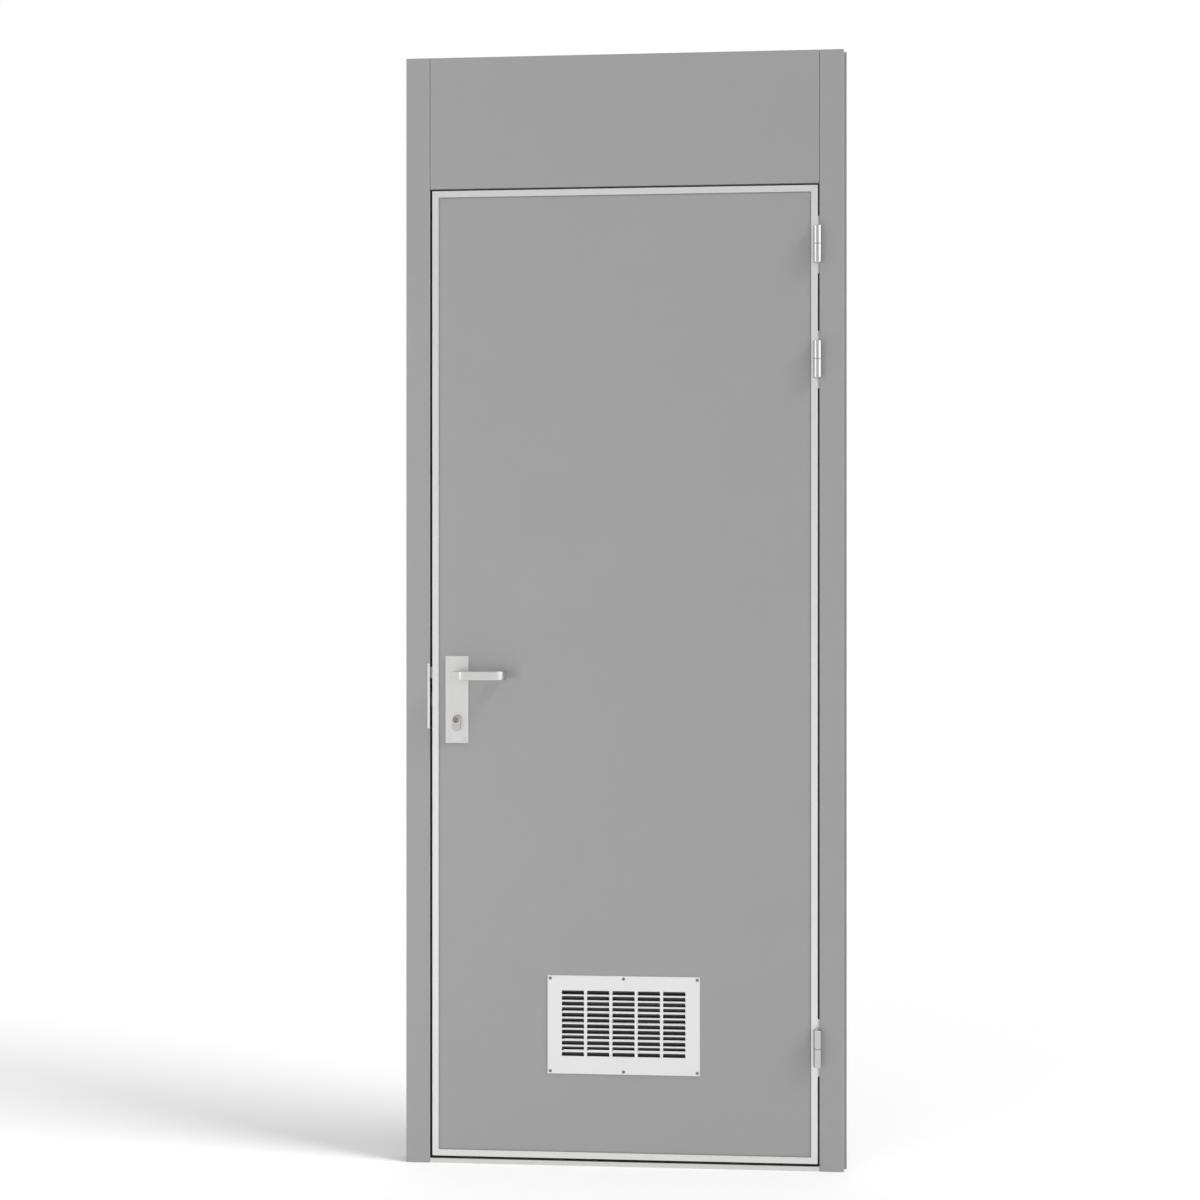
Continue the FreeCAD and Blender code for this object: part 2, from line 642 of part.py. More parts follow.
# Stops behind the leaf: flat bars welded to posts and head, with a rubber seal on them.

stop_depth = ("StopFront", "BackFace")
stop_height = ("SillHeight + StopReach", "HeadLevel - StopReach")
node(block("lock_side_stop", ("-PostInner", "-StopInner"), stop_depth, stop_height))
node(block("hinge_side_stop", ("StopInner", "PostInner"), stop_depth, stop_height))
node(block(
    "head_stop", ("-PostInner", "PostInner"), stop_depth, ("HeadLevel - StopReach", "HeadLevel"),
))

seal = doc.addObject("PartDesign::Body", "door_seal")
seal_depth = ("LeafBack + SealClearance", "StopFront")
prism(seal, "XZ_Plane", rectangle(
    ("-PostInner + SealEdge", "PostInner - SealEdge"),
    ("SillHeight + SealEdge", "HeadLevel - SealEdge"),
), *seal_depth)
cutout(seal, "XZ_Plane", rectangle(
    ("-StopInner - SealEdge", "StopInner + SealEdge"),
    ("SillHeight + StopReach - SealEdge", "HeadLevel - StopReach + SealEdge"),
), *seal_depth)
node(seal)

# Strips that swell in a fire, stuck in the gap on posts and head, clear of lock and hinges.

HINGE_LEVELS = ["LowerHingeLevel", "MiddleHingeLevel", "UpperHingeLevel"]
strip_depth = ("MiddleY - StripWidth / 2", "MiddleY + StripWidth / 2")
lock_strip = ("-PostInner", "-PostInner + StripThickness")
hinge_strip = ("PostInner - StripThickness", "PostInner")
strip_ends = ["SillHeight + StripThickness"]
for level in HINGE_LEVELS:
    strip_ends += [f"{level} - HingePlateHeight / 2 - SealEdge"]
    strip_ends += [f"{level} + HingePlateHeight / 2 + SealEdge"]
strip_ends += ["HeadLevel - StripThickness"]
strips = [
    block("strip_lock_low", lock_strip, strip_depth, (strip_ends[0], "StrikeBottom - SealEdge")),
    block("strip_lock_high", lock_strip, strip_depth, ("StrikeTop + SealEdge", strip_ends[-1])),
    block(
        "strip_head", ("-PostInner + StripThickness", "PostInner - StripThickness"),
        strip_depth, ("HeadLevel - StripThickness", "HeadLevel"),
    ),
]
for number in range(0, len(strip_ends), 2):
    span = (strip_ends[number], strip_ends[number + 1])
    strips.append(block(f"strip_hinge{number}", hinge_strip, strip_depth, span))
node(group("intumescent_strips", *strips))

# Strike: a bent plate in the post's edge, with holes for latch and deadbolt, before a box.

strike_blank = doc.addObject("PartDesign::Body", "strike_blank")
prism(strike_blank, "XY_Plane", [
    ("-PostInner - StrikeLip", "FrontFace - StrikeLipRise"),
    ("-PostInner", "FrontFace - StrikeLipRise"),
    ("-PostInner", "FrontFace + StrikeDepth"),
    ("StrikeBack", "FrontFace + StrikeDepth"),
    ("StrikeBack", "FrontFace + StrikeThickness - StrikeLipRise"),
    ("-PostInner - StrikeLip", "FrontFace + StrikeThickness - StrikeLipRise"),
], "StrikeBottom", "StrikeTop")
rounded(strike_blank, "z", [("-PostInner", "FrontFace - StrikeLipRise")], "StrikeThickness / 2")
bolt_holes = [
    ("LatchThickness", "LatchBottom", "LatchTop"),
    ("DeadboltThickness", "DeadboltBottom", "DeadboltTop"),
]
for thickness, low, high in bolt_holes:
    cutout(strike_blank, "YZ_Plane", rectangle(
        (
            f"MiddleY - {thickness} / 2 - StrikePlay",
            f"MiddleY + {thickness} / 2 + StrikePlay",
        ),
        (f"{low} - StrikePlay", f"{high} + StrikePlay"),
    ), "StrikeBack", "-PostInner")
strike_screws = node(sunk_screws(
    "strike_screws", "x", "-PostInner", -1,
    [
        ("MiddleY", "(StrikeBottom + DeadboltBottom) / 2"),
        ("MiddleY", "(DeadboltTop + LatchBottom) / 2"),
    ],
    "CaseScrew", "StrikeScrewLength",
))
node(cut("strike_plate", strike_blank, strike_screws))
strike_box_blank = block(
    "strike_box_blank", ("BoxEnd", "StrikeBack"),
    ("MiddleY - StrikeBoxWidth / 2", "MiddleY + StrikeBoxWidth / 2"),
    ("StrikeBottom", "StrikeTop"),
)
strike_box_hollows = [
    block(
        f"strike_box_hollow_{low}", ("BoxEnd + StrikeBoxWall", "StrikeBack"),
        (
            "MiddleY - StrikeBoxWidth / 2 + StrikeBoxWall",
            "MiddleY + StrikeBoxWidth / 2 - StrikeBoxWall",
        ),
        (f"{low} - StrikeBoxWall", f"{high} + StrikeBoxWall"),
    )
    for thickness, low, high in bolt_holes
]
node(cut("strike_box", strike_box_blank, *strike_box_hollows, strike_screws))

# Hinges: a plate on the leaf's edge with the upper knuckle, a plate on the post with the
# lower one, a fixed pin and a bearing washer between the knuckles.


def hinge_half(name, level, plate, knuckle, bore_radius, bore):
    """One plate with its knuckle, bored for the pin."""
    plate_solid = block(
        name + "_plate", plate, ("FrontFace", "FrontFace + HingePlateDepth"),
        (f"{level} - HingePlateHeight / 2", f"{level} + HingePlateHeight / 2"),
    )
    tab = block(name + "_tab", plate, ("HingeY", "FrontFace"), knuckle)
    barrel = rod(name + "_barrel", "z", "KnuckleRadius", *knuckle, ("HingeX", "HingeY"))
    hole = rod(name + "_hole", "z", bore_radius, *bore, ("HingeX", "HingeY"))
    return cut(name, fuse(name + "_blank", plate_solid, tab, barrel), hole)


leaf_halves = []
frame_halves = []
pins = []
washers = []
for number, level in enumerate(HINGE_LEVELS):
    top = f"{level} + KnuckleHeight / 2"
    foot = f"{level} - KnuckleHeight / 2"
    upper_start = f"{level} + WasherThickness / 2 + WasherPlay"
    lower_end = f"{level} - WasherThickness / 2"
    leaf_halves.append(hinge_half(
        f"leaf_hinge{number}", level, ("LeafRight", "LeafRight + HingePlateThickness"),
        (upper_start, top), "PinRadius + PinPlay", (upper_start, f"{top} - KnuckleCap"),
    ))
    frame_halves.append(hinge_half(
        f"frame_hinge{number}", level, ("PostInner - HingePlateThickness", "PostInner"),
        (foot, lower_end), "PinRadius", (f"{foot} + KnuckleCap", lower_end),
    ))
    pins.append(rod(
        f"hinge_pin{number}", "z", "PinRadius", f"{foot} + KnuckleCap",
        f"{top} - KnuckleCap - WasherPlay", ("HingeX", "HingeY"),
    ))
    ring = rod(
        f"washer_disc{number}", "z", "KnuckleRadius", lower_end,
        f"{level} + WasherThickness / 2", ("HingeX", "HingeY"),
    )
    washers.append(cut(f"washer{number}", ring, pins[-1]))

node(group("hinge_pins", *pins))
node(group("hinge_washers", *washers))
hinge_screw_spots = []
for level in HINGE_LEVELS:
    hinge_screw_spots += [
        ("FrontFace + HingeScrewInset", f"{level} - HingeScrewStep"),
        ("FrontFace + HingePlateDepth - HingeScrewInset", f"{level} + HingeScrewStep"),
    ]
leaf_hinge_screws = node(sunk_screws(
    "leaf_hinge_screws", "x", "LeafRight + HingePlateThickness", -1,
    hinge_screw_spots, "HingeScrew", "HingeScrewLength",
))
frame_hinge_screws = node(sunk_screws(
    "frame_hinge_screws", "x", "PostInner - HingePlateThickness", 1,
    hinge_screw_spots, "HingeScrew", "HingeScrewLength",
))
node(cut("leaf_hinge_plates", group("leaf_hinge_halves", *leaf_halves), leaf_hinge_screws))
node(cut("frame_hinge_plates", group("frame_hinge_halves", *frame_halves), frame_hinge_screws))
node(cut("hinge_post", hinge_post_blank, frame_hinge_screws))
node(cut("hinge_post_stiffener", hinge_bar_blank, frame_hinge_screws))

# Levers: a round neck, a boss and a flat grip that bends back to the door, on one spindle.


def lever(name, face, out):
    """A lever in front of a face of the leaf, where out is the sign of its side."""
    neck = f"{face} + {out} * SealClearance"
    front = f"{face} + {out} * LeverStandoff"
    back = f"{front} - {out} * LeverGripThickness"
    boss = f"{front} + {out} * LeverBossRise"
    end = f"{face} + {out} * LeverEndGap"
    tip = "LeverX + LeverReach"
    inner = "LeverX + LeverReach - LeverGripThickness"
    body = doc.addObject("PartDesign::Body", name + "_grip")
    prism(body, "XY_Plane", [
        ("LeverX - NeckRadius", boss),
        ("LeverX + LeverBossWidth", boss),
        ("LeverX + LeverBossWidth + LeverBossSlope", front),
        (tip, front),
        (tip, end),
        (inner, end),
        (inner, back),
        ("LeverX - NeckRadius", back),
    ], "LeverLevel - LeverGripHeight / 2", "LeverLevel + LeverGripHeight / 2")
    rounded(body, "z", [(tip, front)], "LeverBendRadius")
    rounded(body, "z", [(inner, back)], "LeverBendRadius - LeverGripThickness")
    rounded(body, "z", [(tip, end), (inner, end)], "LeverEndRadius")
    levels = ["LeverLevel - LeverGripHeight / 2", "LeverLevel + LeverGripHeight / 2"]
    rounded(body, "y", [("LeverX - NeckRadius", level) for level in levels], "LeverCornerRadius")
    doc.recompute()
    names = []
    for number, edge in enumerate(body.Shape.Edges):
        flat = edge.BoundBox.ZLength < 0.001
        outer = min(abs(edge.CenterOfMass.z - value(level)) for level in levels) < 0.001
        if flat and outer:
            names.append(f"Edge{number + 1}")
    chamfered(body, names, "LeverChamfer")
    low, high = sorted([neck, back], key=value)
    neck_rod = rod(name + "_neck", "y", "NeckRadius", low, high, ("LeverX", "LeverLevel"))
    square_span = sorted([neck, f"{face} + {out} * SpindleDepth"], key=value)
    square = block(name + "_square", spindle_across, square_span, spindle_up)
    return fuse(name + "_blank", body, neck_rod), square


spindle_across = ("LeverX - SpindleSide / 2", "LeverX + SpindleSide / 2")
spindle_up = ("LeverLevel - SpindleSide / 2", "LeverLevel + SpindleSide / 2")
spindle = node(block(
    "spindle", spindle_across,
    ("SkinFront - SpindleDepth", "SkinBack + SpindleDepth"), spindle_up,
))
grub_screws = []
for name, face, out in (("front_lever", "SkinFront", -1), ("rear_lever", "SkinBack", 1)):
    blank, square = lever(name, face, out)
    grub_screw = rod(
        name + "_grub", "z", "GrubScrewRadius", "LeverLevel - NeckRadius",
        "LeverLevel - SpindleSide / 2", ("LeverX", f"{face} + {out} * GrubScrewDepth"),
    )
    grub_screws.append(grub_screw)
    node(cut(name, blank, square, grub_screw))
node(group("lever_grub_screws", *grub_screws))

# Lock case: a steel box with a cover, a faceplate in the leaf's edge, and the follower,
# latch, spring and deadbolt inside.

case_inside = ("CaseFront + CaseWall", "CaseBack - CaseWall")
case_blank = doc.addObject("PartDesign::Body", "case_blank")
prism(
    case_blank, "XZ_Plane", rectangle(("CaseLeft", "CaseRight"), ("CaseBottom", "CaseTop")),
    "CaseFront", "CaseBack - CaseWall",
)
cutout(case_blank, "XZ_Plane", rectangle(
    ("CaseLeft + CaseWall", "CaseRight - CaseWall"),
    ("CaseBottom + CaseWall", "CaseTop - CaseWall"),
), *case_inside)
prism(case_blank, "XZ_Plane", rectangle(
    ("SpringRib", "SpringRib + SpringRibThickness"),
    ("LeverLevel - LatchThickness / 2", "LeverLevel + LatchThickness / 2"),
), "CaseFront", "CaseBack - CaseWall")
for thickness, low, high in bolt_holes:
    cutout(case_blank, "YZ_Plane", rectangle(
        (f"MiddleY - {thickness} / 2 - BoltPlay", f"MiddleY + {thickness} / 2 + BoltPlay"),
        (f"{low} - BoltPlay", f"{high} + BoltPlay"),
    ), "CaseLeft", "CaseLeft + CaseWall")
case_cover_blank = block(
    "case_cover_blank", ("CaseLeft", "CaseRight"), ("CaseBack - CaseWall", "CaseBack"),
    ("CaseBottom", "CaseTop"),
)


def profile_bar(name, play, low, high):
    """A bar of the cylinder's oval profile: a round head over a rounded foot."""
    half_leg = f"CylinderLegWidth / 2 + {play}"
    foot_centre = "CylinderFoot + CylinderLegWidth / 2"
    head = rod(
        name + "_head", "y", f"CylinderRadius + {play}", low, high, ("LeverX", "CylinderLevel"),
    )
    leg = block(
        name + "_leg", (f"LeverX - ({half_leg})", f"LeverX + {half_leg}"), (low, high),
        (foot_centre, "CylinderLevel"),
    )
    foot = rod(name + "_foot", "y", half_leg, low, high, ("LeverX", foot_centre))
    return fuse(name, head, leg, foot)


cylinder_screw = node(sunk_screws(
    "cylinder_screw", "x", "LeafLeft", 1, [("MiddleY", "CylinderFoot + CylinderBridge / 2")],
    "CylinderScrew", "Backset + CylinderScrewRadius",
))
cylinder_clearance = profile_bar(
    "cylinder_clearance", "CylinderPlay", "CylinderFront", "CylinderBack",
)
cylinder_window = block(
    "cylinder_window", ("LeverX - CamRadius", "LeverX + CamRadius"), ("FrontFace", "LeafBack"),
    ("CylinderFoot - CylinderPlay", "CylinderLevel + CylinderRadius + CylinderPlay"),
)
neck_window = block(
    "neck_window", ("LeverX - FollowerRadius", "LeverX + FollowerRadius"),
    ("FrontFace", "LeafBack"), ("LeverLevel - FollowerRadius", "LeverLevel + FollowerRadius"),
)
follower_clearance = rod(
    "follower_clearance", "y", "FollowerRadius + FollowerPlay", "CaseFront", "CaseBack",
    ("LeverX", "LeverLevel"),
)
node(cut("lock_case", case_blank, cylinder_window, follower_clearance, cylinder_screw))
node(cut("lock_cover", case_cover_blank, cylinder_window, follower_clearance))

follower_hub = rod(
    "follower_hub", "y", "FollowerRadius", "CaseFront", "CaseBack", ("LeverX", "LeverLevel"),
)
arm_depth = ("MiddleY + ArmHalfWidth", "MiddleY + 3 * ArmHalfWidth")
follower_arm = block(
    "follower_arm", ("LeverX - ArmHalfWidth", "LeverX + ArmHalfWidth"), arm_depth,
    ("LeverLevel", "LeverLevel + ArmReach"),
)
node(cut("lock_follower", fuse("follower_blank", follower_hub, follower_arm), spindle))

SPRING_FOLDS = 8
latch_span = ("MiddleY - LatchThickness / 2", "MiddleY + LatchThickness / 2")
latch_tip = "LeafLeft - LatchThrow"
latch_head = doc.addObject("PartDesign::Body", "latch_head")
prism(latch_head, "XY_Plane", [
    (latch_tip, latch_span[0]),
    ("LatchRear", latch_span[0]),
    ("LatchRear", latch_span[1]),
    (f"{latch_tip} + LatchThickness - BoltPlay", latch_span[1]),
    (latch_tip, f"{latch_span[0]} + ArmHalfWidth"),
], "LatchBottom", "LatchTop")
latch_tail = block(
    "latch_tail", ("LatchRear", "LugX + 2 * LugRadius"),
    (latch_span[0], f"{latch_span[0]} + 2 * ArmHalfWidth"),
    ("LatchTop - LatchTailHeight", "LatchTop"),
)
latch_lug = rod(
    "latch_lug", "y", "LugRadius", f"{latch_span[0]} + ArmHalfWidth",
    f"{arm_depth[1]} - LugPlay", ("LugX", "LugLevel"),
)
node(fuse("latch_bolt", latch_head, latch_tail, latch_lug))

spring_step = f"(SpringRib - LatchRear - SpringThickness) / {SPRING_FOLDS}"
spring_near = [
    (f"LatchRear + {spring_step} * {fold}", f"LeverLevel {'-+'[fold % 2]} SpringRise")
    for fold in range(SPRING_FOLDS + 1)
]
spring_far = [(f"{x} + SpringThickness", z) for x, z in reversed(spring_near)]
spring = doc.addObject("PartDesign::Body", "latch_spring")
prism(
    spring, "XZ_Plane", spring_near + spring_far,
    "MiddleY - SpringWidth / 2", "MiddleY + SpringWidth / 2",
)
node(spring)

deadbolt_span = ("MiddleY - DeadboltThickness / 2", "MiddleY + DeadboltThickness / 2")
deadbolt = doc.addObject("PartDesign::Body", "deadbolt")
prism(
    deadbolt, "XZ_Plane",
    rectangle(
        ("LeafLeft + DeadboltInset", "LeafLeft + DeadboltInset + DeadboltLength"),
        ("DeadboltBottom", "DeadboltTop"),
    ),
    *deadbolt_span,
)
node(deadbolt)

face_y = ("MiddleY - FaceplateWidth / 2", "MiddleY + FaceplateWidth / 2")
face_z = ("FaceplateBottom", "FaceplateTop")
faceplate_blank = doc.addObject("PartDesign::Body", "faceplate_blank")
prism(faceplate_blank, "YZ_Plane", rectangle(face_y, face_z), "LeafLeft", "CaseLeft")
for thickness, low, high in bolt_holes:
    cutout(faceplate_blank, "YZ_Plane", rectangle(
        (f"MiddleY - {thickness} / 2 - BoltPlay", f"MiddleY + {thickness} / 2 + BoltPlay"),
        (f"{low} - BoltPlay", f"{high} + BoltPlay"),
    ), "LeafLeft", "CaseLeft")
faceplate_screws = node(sunk_screws(
    "faceplate_screws", "x", "LeafLeft", 1,
    [
        ("MiddleY", "FaceplateBottom + FaceScrewInset"),
        ("MiddleY", "FaceplateTop - FaceScrewInset"),
    ],
    "CaseScrew", "TrimThickness + LeafBarThickness",
))
node(cut("lock_faceplate", faceplate_blank, faceplate_screws, cylinder_screw))
case_hole = block(
    "case_hole", ("CaseLeft", "CaseRight"), ("CaseFront", "CaseBack"), ("CaseBottom", "CaseTop"),
)

# Cylinder: the profile body with its bridge, a plug with a keyway, the cam, and a thumb turn.

cylinder_blank = profile_bar("cylinder_blank", "0", "CylinderFront", "CylinderBack")
plug_bore = rod(
    "plug_bore", "y", "PlugRadius + PlugPlay", "CylinderFront", "CylinderBack",
    ("LeverX", "CylinderLevel"),
)
cam_slot = block(
    "cam_slot", ("LeverX - CamRadius", "LeverX + CamRadius"),
    ("MiddleY - CamWidth / 2", "MiddleY + CamWidth / 2"),
    ("CylinderFoot + CylinderBridge", "CylinderLevel + CamRadius"),
)
node(cut("cylinder_body", cylinder_blank, plug_bore, cam_slot, cylinder_screw))
axis_spot = ("LeverX", "CylinderLevel")
plug_rod = rod(
    "plug_rod", "y", "PlugRadius", "CylinderFront", "MiddleY - CamWidth / 2 + CamPlay", axis_spot,
)
keyway = block(
    "keyway", ("LeverX - KeywayWidth / 2", "LeverX + KeywayWidth / 2"),
    ("CylinderFront", "MiddleY - CamWidth / 2"),
    ("CylinderLevel - KeywayDrop", "CylinderLevel + KeywayRise"),
)
node(cut("key_plug", plug_rod, keyway))
cam_span = ("MiddleY - CamWidth / 2 + CamPlay", "MiddleY + CamWidth / 2 - CamPlay")
cam_hub = rod("cam_hub", "y", "PlugRadius", *cam_span, axis_spot)
cam_lobe = block(
    "cam_lobe", ("LeverX - PlugRadius / 2", "LeverX + PlugRadius / 2"), cam_span,
    ("CylinderLevel - CamRadius", "CylinderLevel"),
)
cam_limit = rod("cam_limit", "y", "CamRadius", *cam_span, axis_spot)
cam_shape = doc.addObject("Part::Common", "cam_lobe_rounded")
cam_shape.Base = cam_lobe
cam_shape.Tool = cam_limit
node(fuse("cylinder_cam", cam_hub, cam_shape))
turn_shaft = rod(
    "turn_shaft", "y", "PlugRadius", "MiddleY + CamWidth / 2 - CamPlay",
    "CylinderBack + TurnShaftReach", axis_spot,
)
turn_wing = doc.addObject("PartDesign::Body", "turn_wing")
prism(
    turn_wing, "XZ_Plane",
    rectangle(
        ("LeverX - TurnThickness / 2", "LeverX + TurnThickness / 2"),
        ("CylinderLevel - TurnHeight / 2", "CylinderLevel + TurnHeight / 2"),
    ),
    "CylinderBack + TurnShaftReach", "CylinderBack + TurnReach",
)
rounded(turn_wing, "x", [
    ("CylinderBack + TurnReach", f"CylinderLevel {sign} TurnHeight / 2") for sign in "+-"
], "TurnThickness")
node(fuse("thumb_turn", turn_shaft, turn_wing))

# Backplates: long plates behind the levers, with holes for neck and cylinder.

plate_x = ("LeverX - BackplateWidth / 2", "LeverX + BackplateWidth / 2")
plate_z = ("BackplateBottom", "BackplateTop")
plate_spots = [
    (f"{across} {side} PlateScrewInset", f"{level} {step} PlateScrewInset")
    for across, side in ((plate_x[0], "+"), (plate_x[1], "-"))
    for level, step in ((plate_z[0], "+"), (plate_z[1], "-"))
]
neck_clearance = rod(
    "neck_clearance", "y", "NeckRadius + NeckPlay", "SkinFront - BackplateThickness",
    "SkinBack + BackplateThickness", ("LeverX", "LeverLevel"),
)
plate_screw_groups = []
for side, face, out in (("front", "SkinFront", -1), ("rear", "SkinBack", 1)):
    plate_face = f"{face} + {out} * BackplateThickness"
    plate_blank = doc.addObject("PartDesign::Body", side + "_backplate_blank")
    prism(
        plate_blank, "XZ_Plane", rectangle(plate_x, plate_z),
        *sorted([face, plate_face], key=value),
    )
    doc.recompute()
    plate_edges = [
        f"Edge{number + 1}" for number, edge in enumerate(plate_blank.Shape.Edges)
        if edge.BoundBox.YLength < 0.001
        and abs(edge.CenterOfMass.y - value(plate_face)) < 0.001
    ]
    chamfered(plate_blank, plate_edges, "BackplateChamfer")
    plate_screws = node(sunk_screws(
        side + "_plate_screws", "y", plate_face, -out, plate_spots, "PlateScrew",
        "BackplateThickness + SkinThickness",
    ))
    plate_screw_groups.append(plate_screws)
    node(cut(
        side + "_backplate", plate_blank, neck_clearance, cylinder_clearance, plate_screws,
    ))

# Grilles: plates with rows of slots, and a slanting louvre behind each row.


def patterned(name, body, feature, directions):
    """Repeats the body's last feature along the directions."""
    pattern = body.newObject("PartDesign::MultiTransform", name)
    pattern.Originals = [feature]
    steps = []
    for axis, count, pitch in directions:
        step = body.newObject("PartDesign::LinearPattern", f"{name}_{axis}")
        direction = [item for item in body.Origin.OriginFeatures if item.Role == axis][0]
        step.Direction = (direction, [""])
        step.setExpression("Length", linked(f"{pitch} * ({count} - 1)"))
        step.setExpression("Occurrences", linked(count))
        steps.append(step)
    pattern.Transformations = steps
    body.Tip = pattern


def grille(side, face, out):
    """A grille on a face of the leaf, with its screws."""
    front = f"{face} + {out} * GrilleThickness"
    rear = f"{face} - {out} * LouvreDepth"
    span = sorted([face, front], key=value)
    body = doc.addObject("PartDesign::Body", side + "_grille_blank")
    prism(
        body, "XZ_Plane", rectangle(("GrilleLeft", "GrilleRight"), ("GrilleBottom", "GrilleTop")),
        *span,
    )
    slot_x = "MiddleX - SlotColumnPitch * (SlotColumns - 1) / 2"
    slot_z = "GrilleLevel + GrilleRise - SlotRowPitch * (SlotRows - 1) / 2"
    slot_top = f"{slot_z} + SlotHeight / 2"
    slot_foot = f"{slot_z} - SlotHeight / 2"
    slot = cutout(body, "XZ_Plane", [
        (f"{slot_x} - SlotLength / 2", slot_foot),
        (f"{slot_x} + SlotLength / 2", slot_foot),
        (f"{slot_x} + SlotLength / 2 - SlotSlant", slot_top),
        (f"{slot_x} - SlotLength / 2 + SlotSlant", slot_top),
    ], *span)
    patterned(side + "_slots", body, slot, [
        ("X_Axis", "SlotColumns", "SlotColumnPitch"), ("Z_Axis", "SlotRows", "SlotRowPitch"),
    ])
    blade = prism(body, "YZ_Plane", [
        (face, slot_top),
        (face, f"{slot_top} + LouvreThickness"),
        (rear, f"{slot_top} + LouvreThickness - LouvreDepth"),
        (rear, f"{slot_top} - LouvreDepth"),
    ], f"{slot_x} - SlotLength / 2", f"2 * MiddleX - ({slot_x}) + SlotLength / 2")
    patterned(side + "_blades", body, blade, [("Z_Axis", "SlotRows", "SlotRowPitch")])
    left, right = "GrilleLeft + GrilleScrewInset", "GrilleRight - GrilleScrewInset"
    low, high = "GrilleBottom + GrilleScrewInset", "GrilleTop - GrilleScrewInset"
    spots = [(x, z) for x in (left, "MiddleX", right) for z in (low, high)]
    screws = node(sunk_screws(
        side + "_grille_screws", "y", front, -out, spots, "GrilleScrew",
        "GrilleThickness + SkinThickness",
    ))
    node(cut(side + "_grille", body, screws))
    return screws


grille_screw_groups = [grille("front", "SkinFront", -1), grille("rear", "SkinBack", 1)]
skin_depth = ("SkinFront", "SkinBack")
vent_x = ("VentLeft", "VentRight")
vent_z = ("VentBottom", "VentTop")
vent_hole = block("vent_hole", vent_x, skin_depth, vent_z)
sleeve_x = ("VentLeft + SleeveThickness", "VentRight - SleeveThickness")
sleeve_z = ("VentBottom + SleeveThickness", "VentTop - SleeveThickness")
node(cut(
    "vent_sleeve", block("sleeve_blank", vent_x, skin_depth, vent_z),
    block("sleeve_hollow", sleeve_x, skin_depth, sleeve_z),
))
damper_depth = ("MiddleY - DamperDepth / 2", "MiddleY + DamperDepth / 2")
damper_slots = []
for number in range(round(value("DamperSlots"))):
    slot_middle = (
        f"GrilleLevel + GrilleRise + DamperSlatPitch * ({number} - (DamperSlots - 1) / 2)"
    )
    damper_slots.append(block(
        f"damper_slot{number}",
        (f"{sleeve_x[0]} + DamperRim", f"{sleeve_x[1]} - DamperRim"), damper_depth,
        (f"{slot_middle} - DamperSlotHeight / 2", f"{slot_middle} + DamperSlotHeight / 2"),
    ))
node(cut("vent_damper", block("damper_blank", sleeve_x, damper_depth, sleeve_z), *damper_slots))

# Leaf: two steel skins over mineral wool slabs, a stiffening bar along each upright edge and
# a mitred stainless trim on all four.

skin_x = ("LeafLeft + TrimThickness", "LeafRight - TrimThickness")
skin_z = ("CoreBottom", "CoreTop")
leaf_holes = [cylinder_window, neck_window]
for side, depth, plate_screws, grille_screws in (
    ("front", ("SkinFront", "CoreFront"), plate_screw_groups[0], grille_screw_groups[0]),
    ("back", ("CoreBack", "SkinBack"), plate_screw_groups[1], grille_screw_groups[1]),
):
    node(cut(
        f"leaf_{side}_skin", block(f"leaf_{side}_blank", skin_x, depth, skin_z),
        vent_hole, *leaf_holes, plate_screws, grille_screws,
    ))

core_depth = ("CoreFront", "CoreBack")
core_x = ("CoreLeft", "CoreRight")
slabs = group(
    "core_slabs",
    block("slab_below_vent", core_x, core_depth, ("CoreBottom", "VentBottom")),
    block("slab_left_of_vent", ("CoreLeft", "VentLeft"), core_depth, vent_z),
    block("slab_right_of_vent", ("VentRight", "CoreRight"), core_depth, vent_z),
    block("slab_under_lock", core_x, core_depth, ("VentTop", "CaseBottom")),
    block("slab_beside_lock", ("CaseRight", "CoreRight"), core_depth, ("CaseBottom", "CaseTop")),
    block(
        "slab_before_lock", ("CoreLeft", "CaseRight"), ("CoreFront", "CaseFront"),
        ("CaseBottom", "CaseTop"),
    ),
    block(
        "slab_behind_lock", ("CoreLeft", "CaseRight"), ("CaseBack", "CoreBack"),
        ("CaseBottom", "CaseTop"),
    ),
    block("slab_over_lock", core_x, core_depth, ("CaseTop", "CoreTop")),
)
node(cut("leaf_core", slabs, *leaf_holes))
lock_bar_blank = block("lock_bar_blank", (skin_x[0], "CoreLeft"), core_depth, skin_z)
hinge_bar_inner = block("leaf_hinge_bar_blank", ("CoreRight", skin_x[1]), core_depth, skin_z)
faceplate_hole = block("faceplate_hole", ("LeafLeft", "CaseLeft"), face_y, face_z)
node(cut("lock_side_stiffener", lock_bar_blank, faceplate_hole, case_hole, faceplate_screws))
node(cut("hinge_side_stiffener", hinge_bar_inner, leaf_hinge_screws))

leaf_depth = ("FrontFace", "LeafBack")


def edge_trim(name, corners, channel_plane, channel, ends):
    """A channel along one edge of the leaf, mitred at both ends."""
    body = doc.addObject("PartDesign::Body", name)
    prism(body, "XZ_Plane", corners, *leaf_depth)
    cutout(body, channel_plane, channel, *ends)
    return body


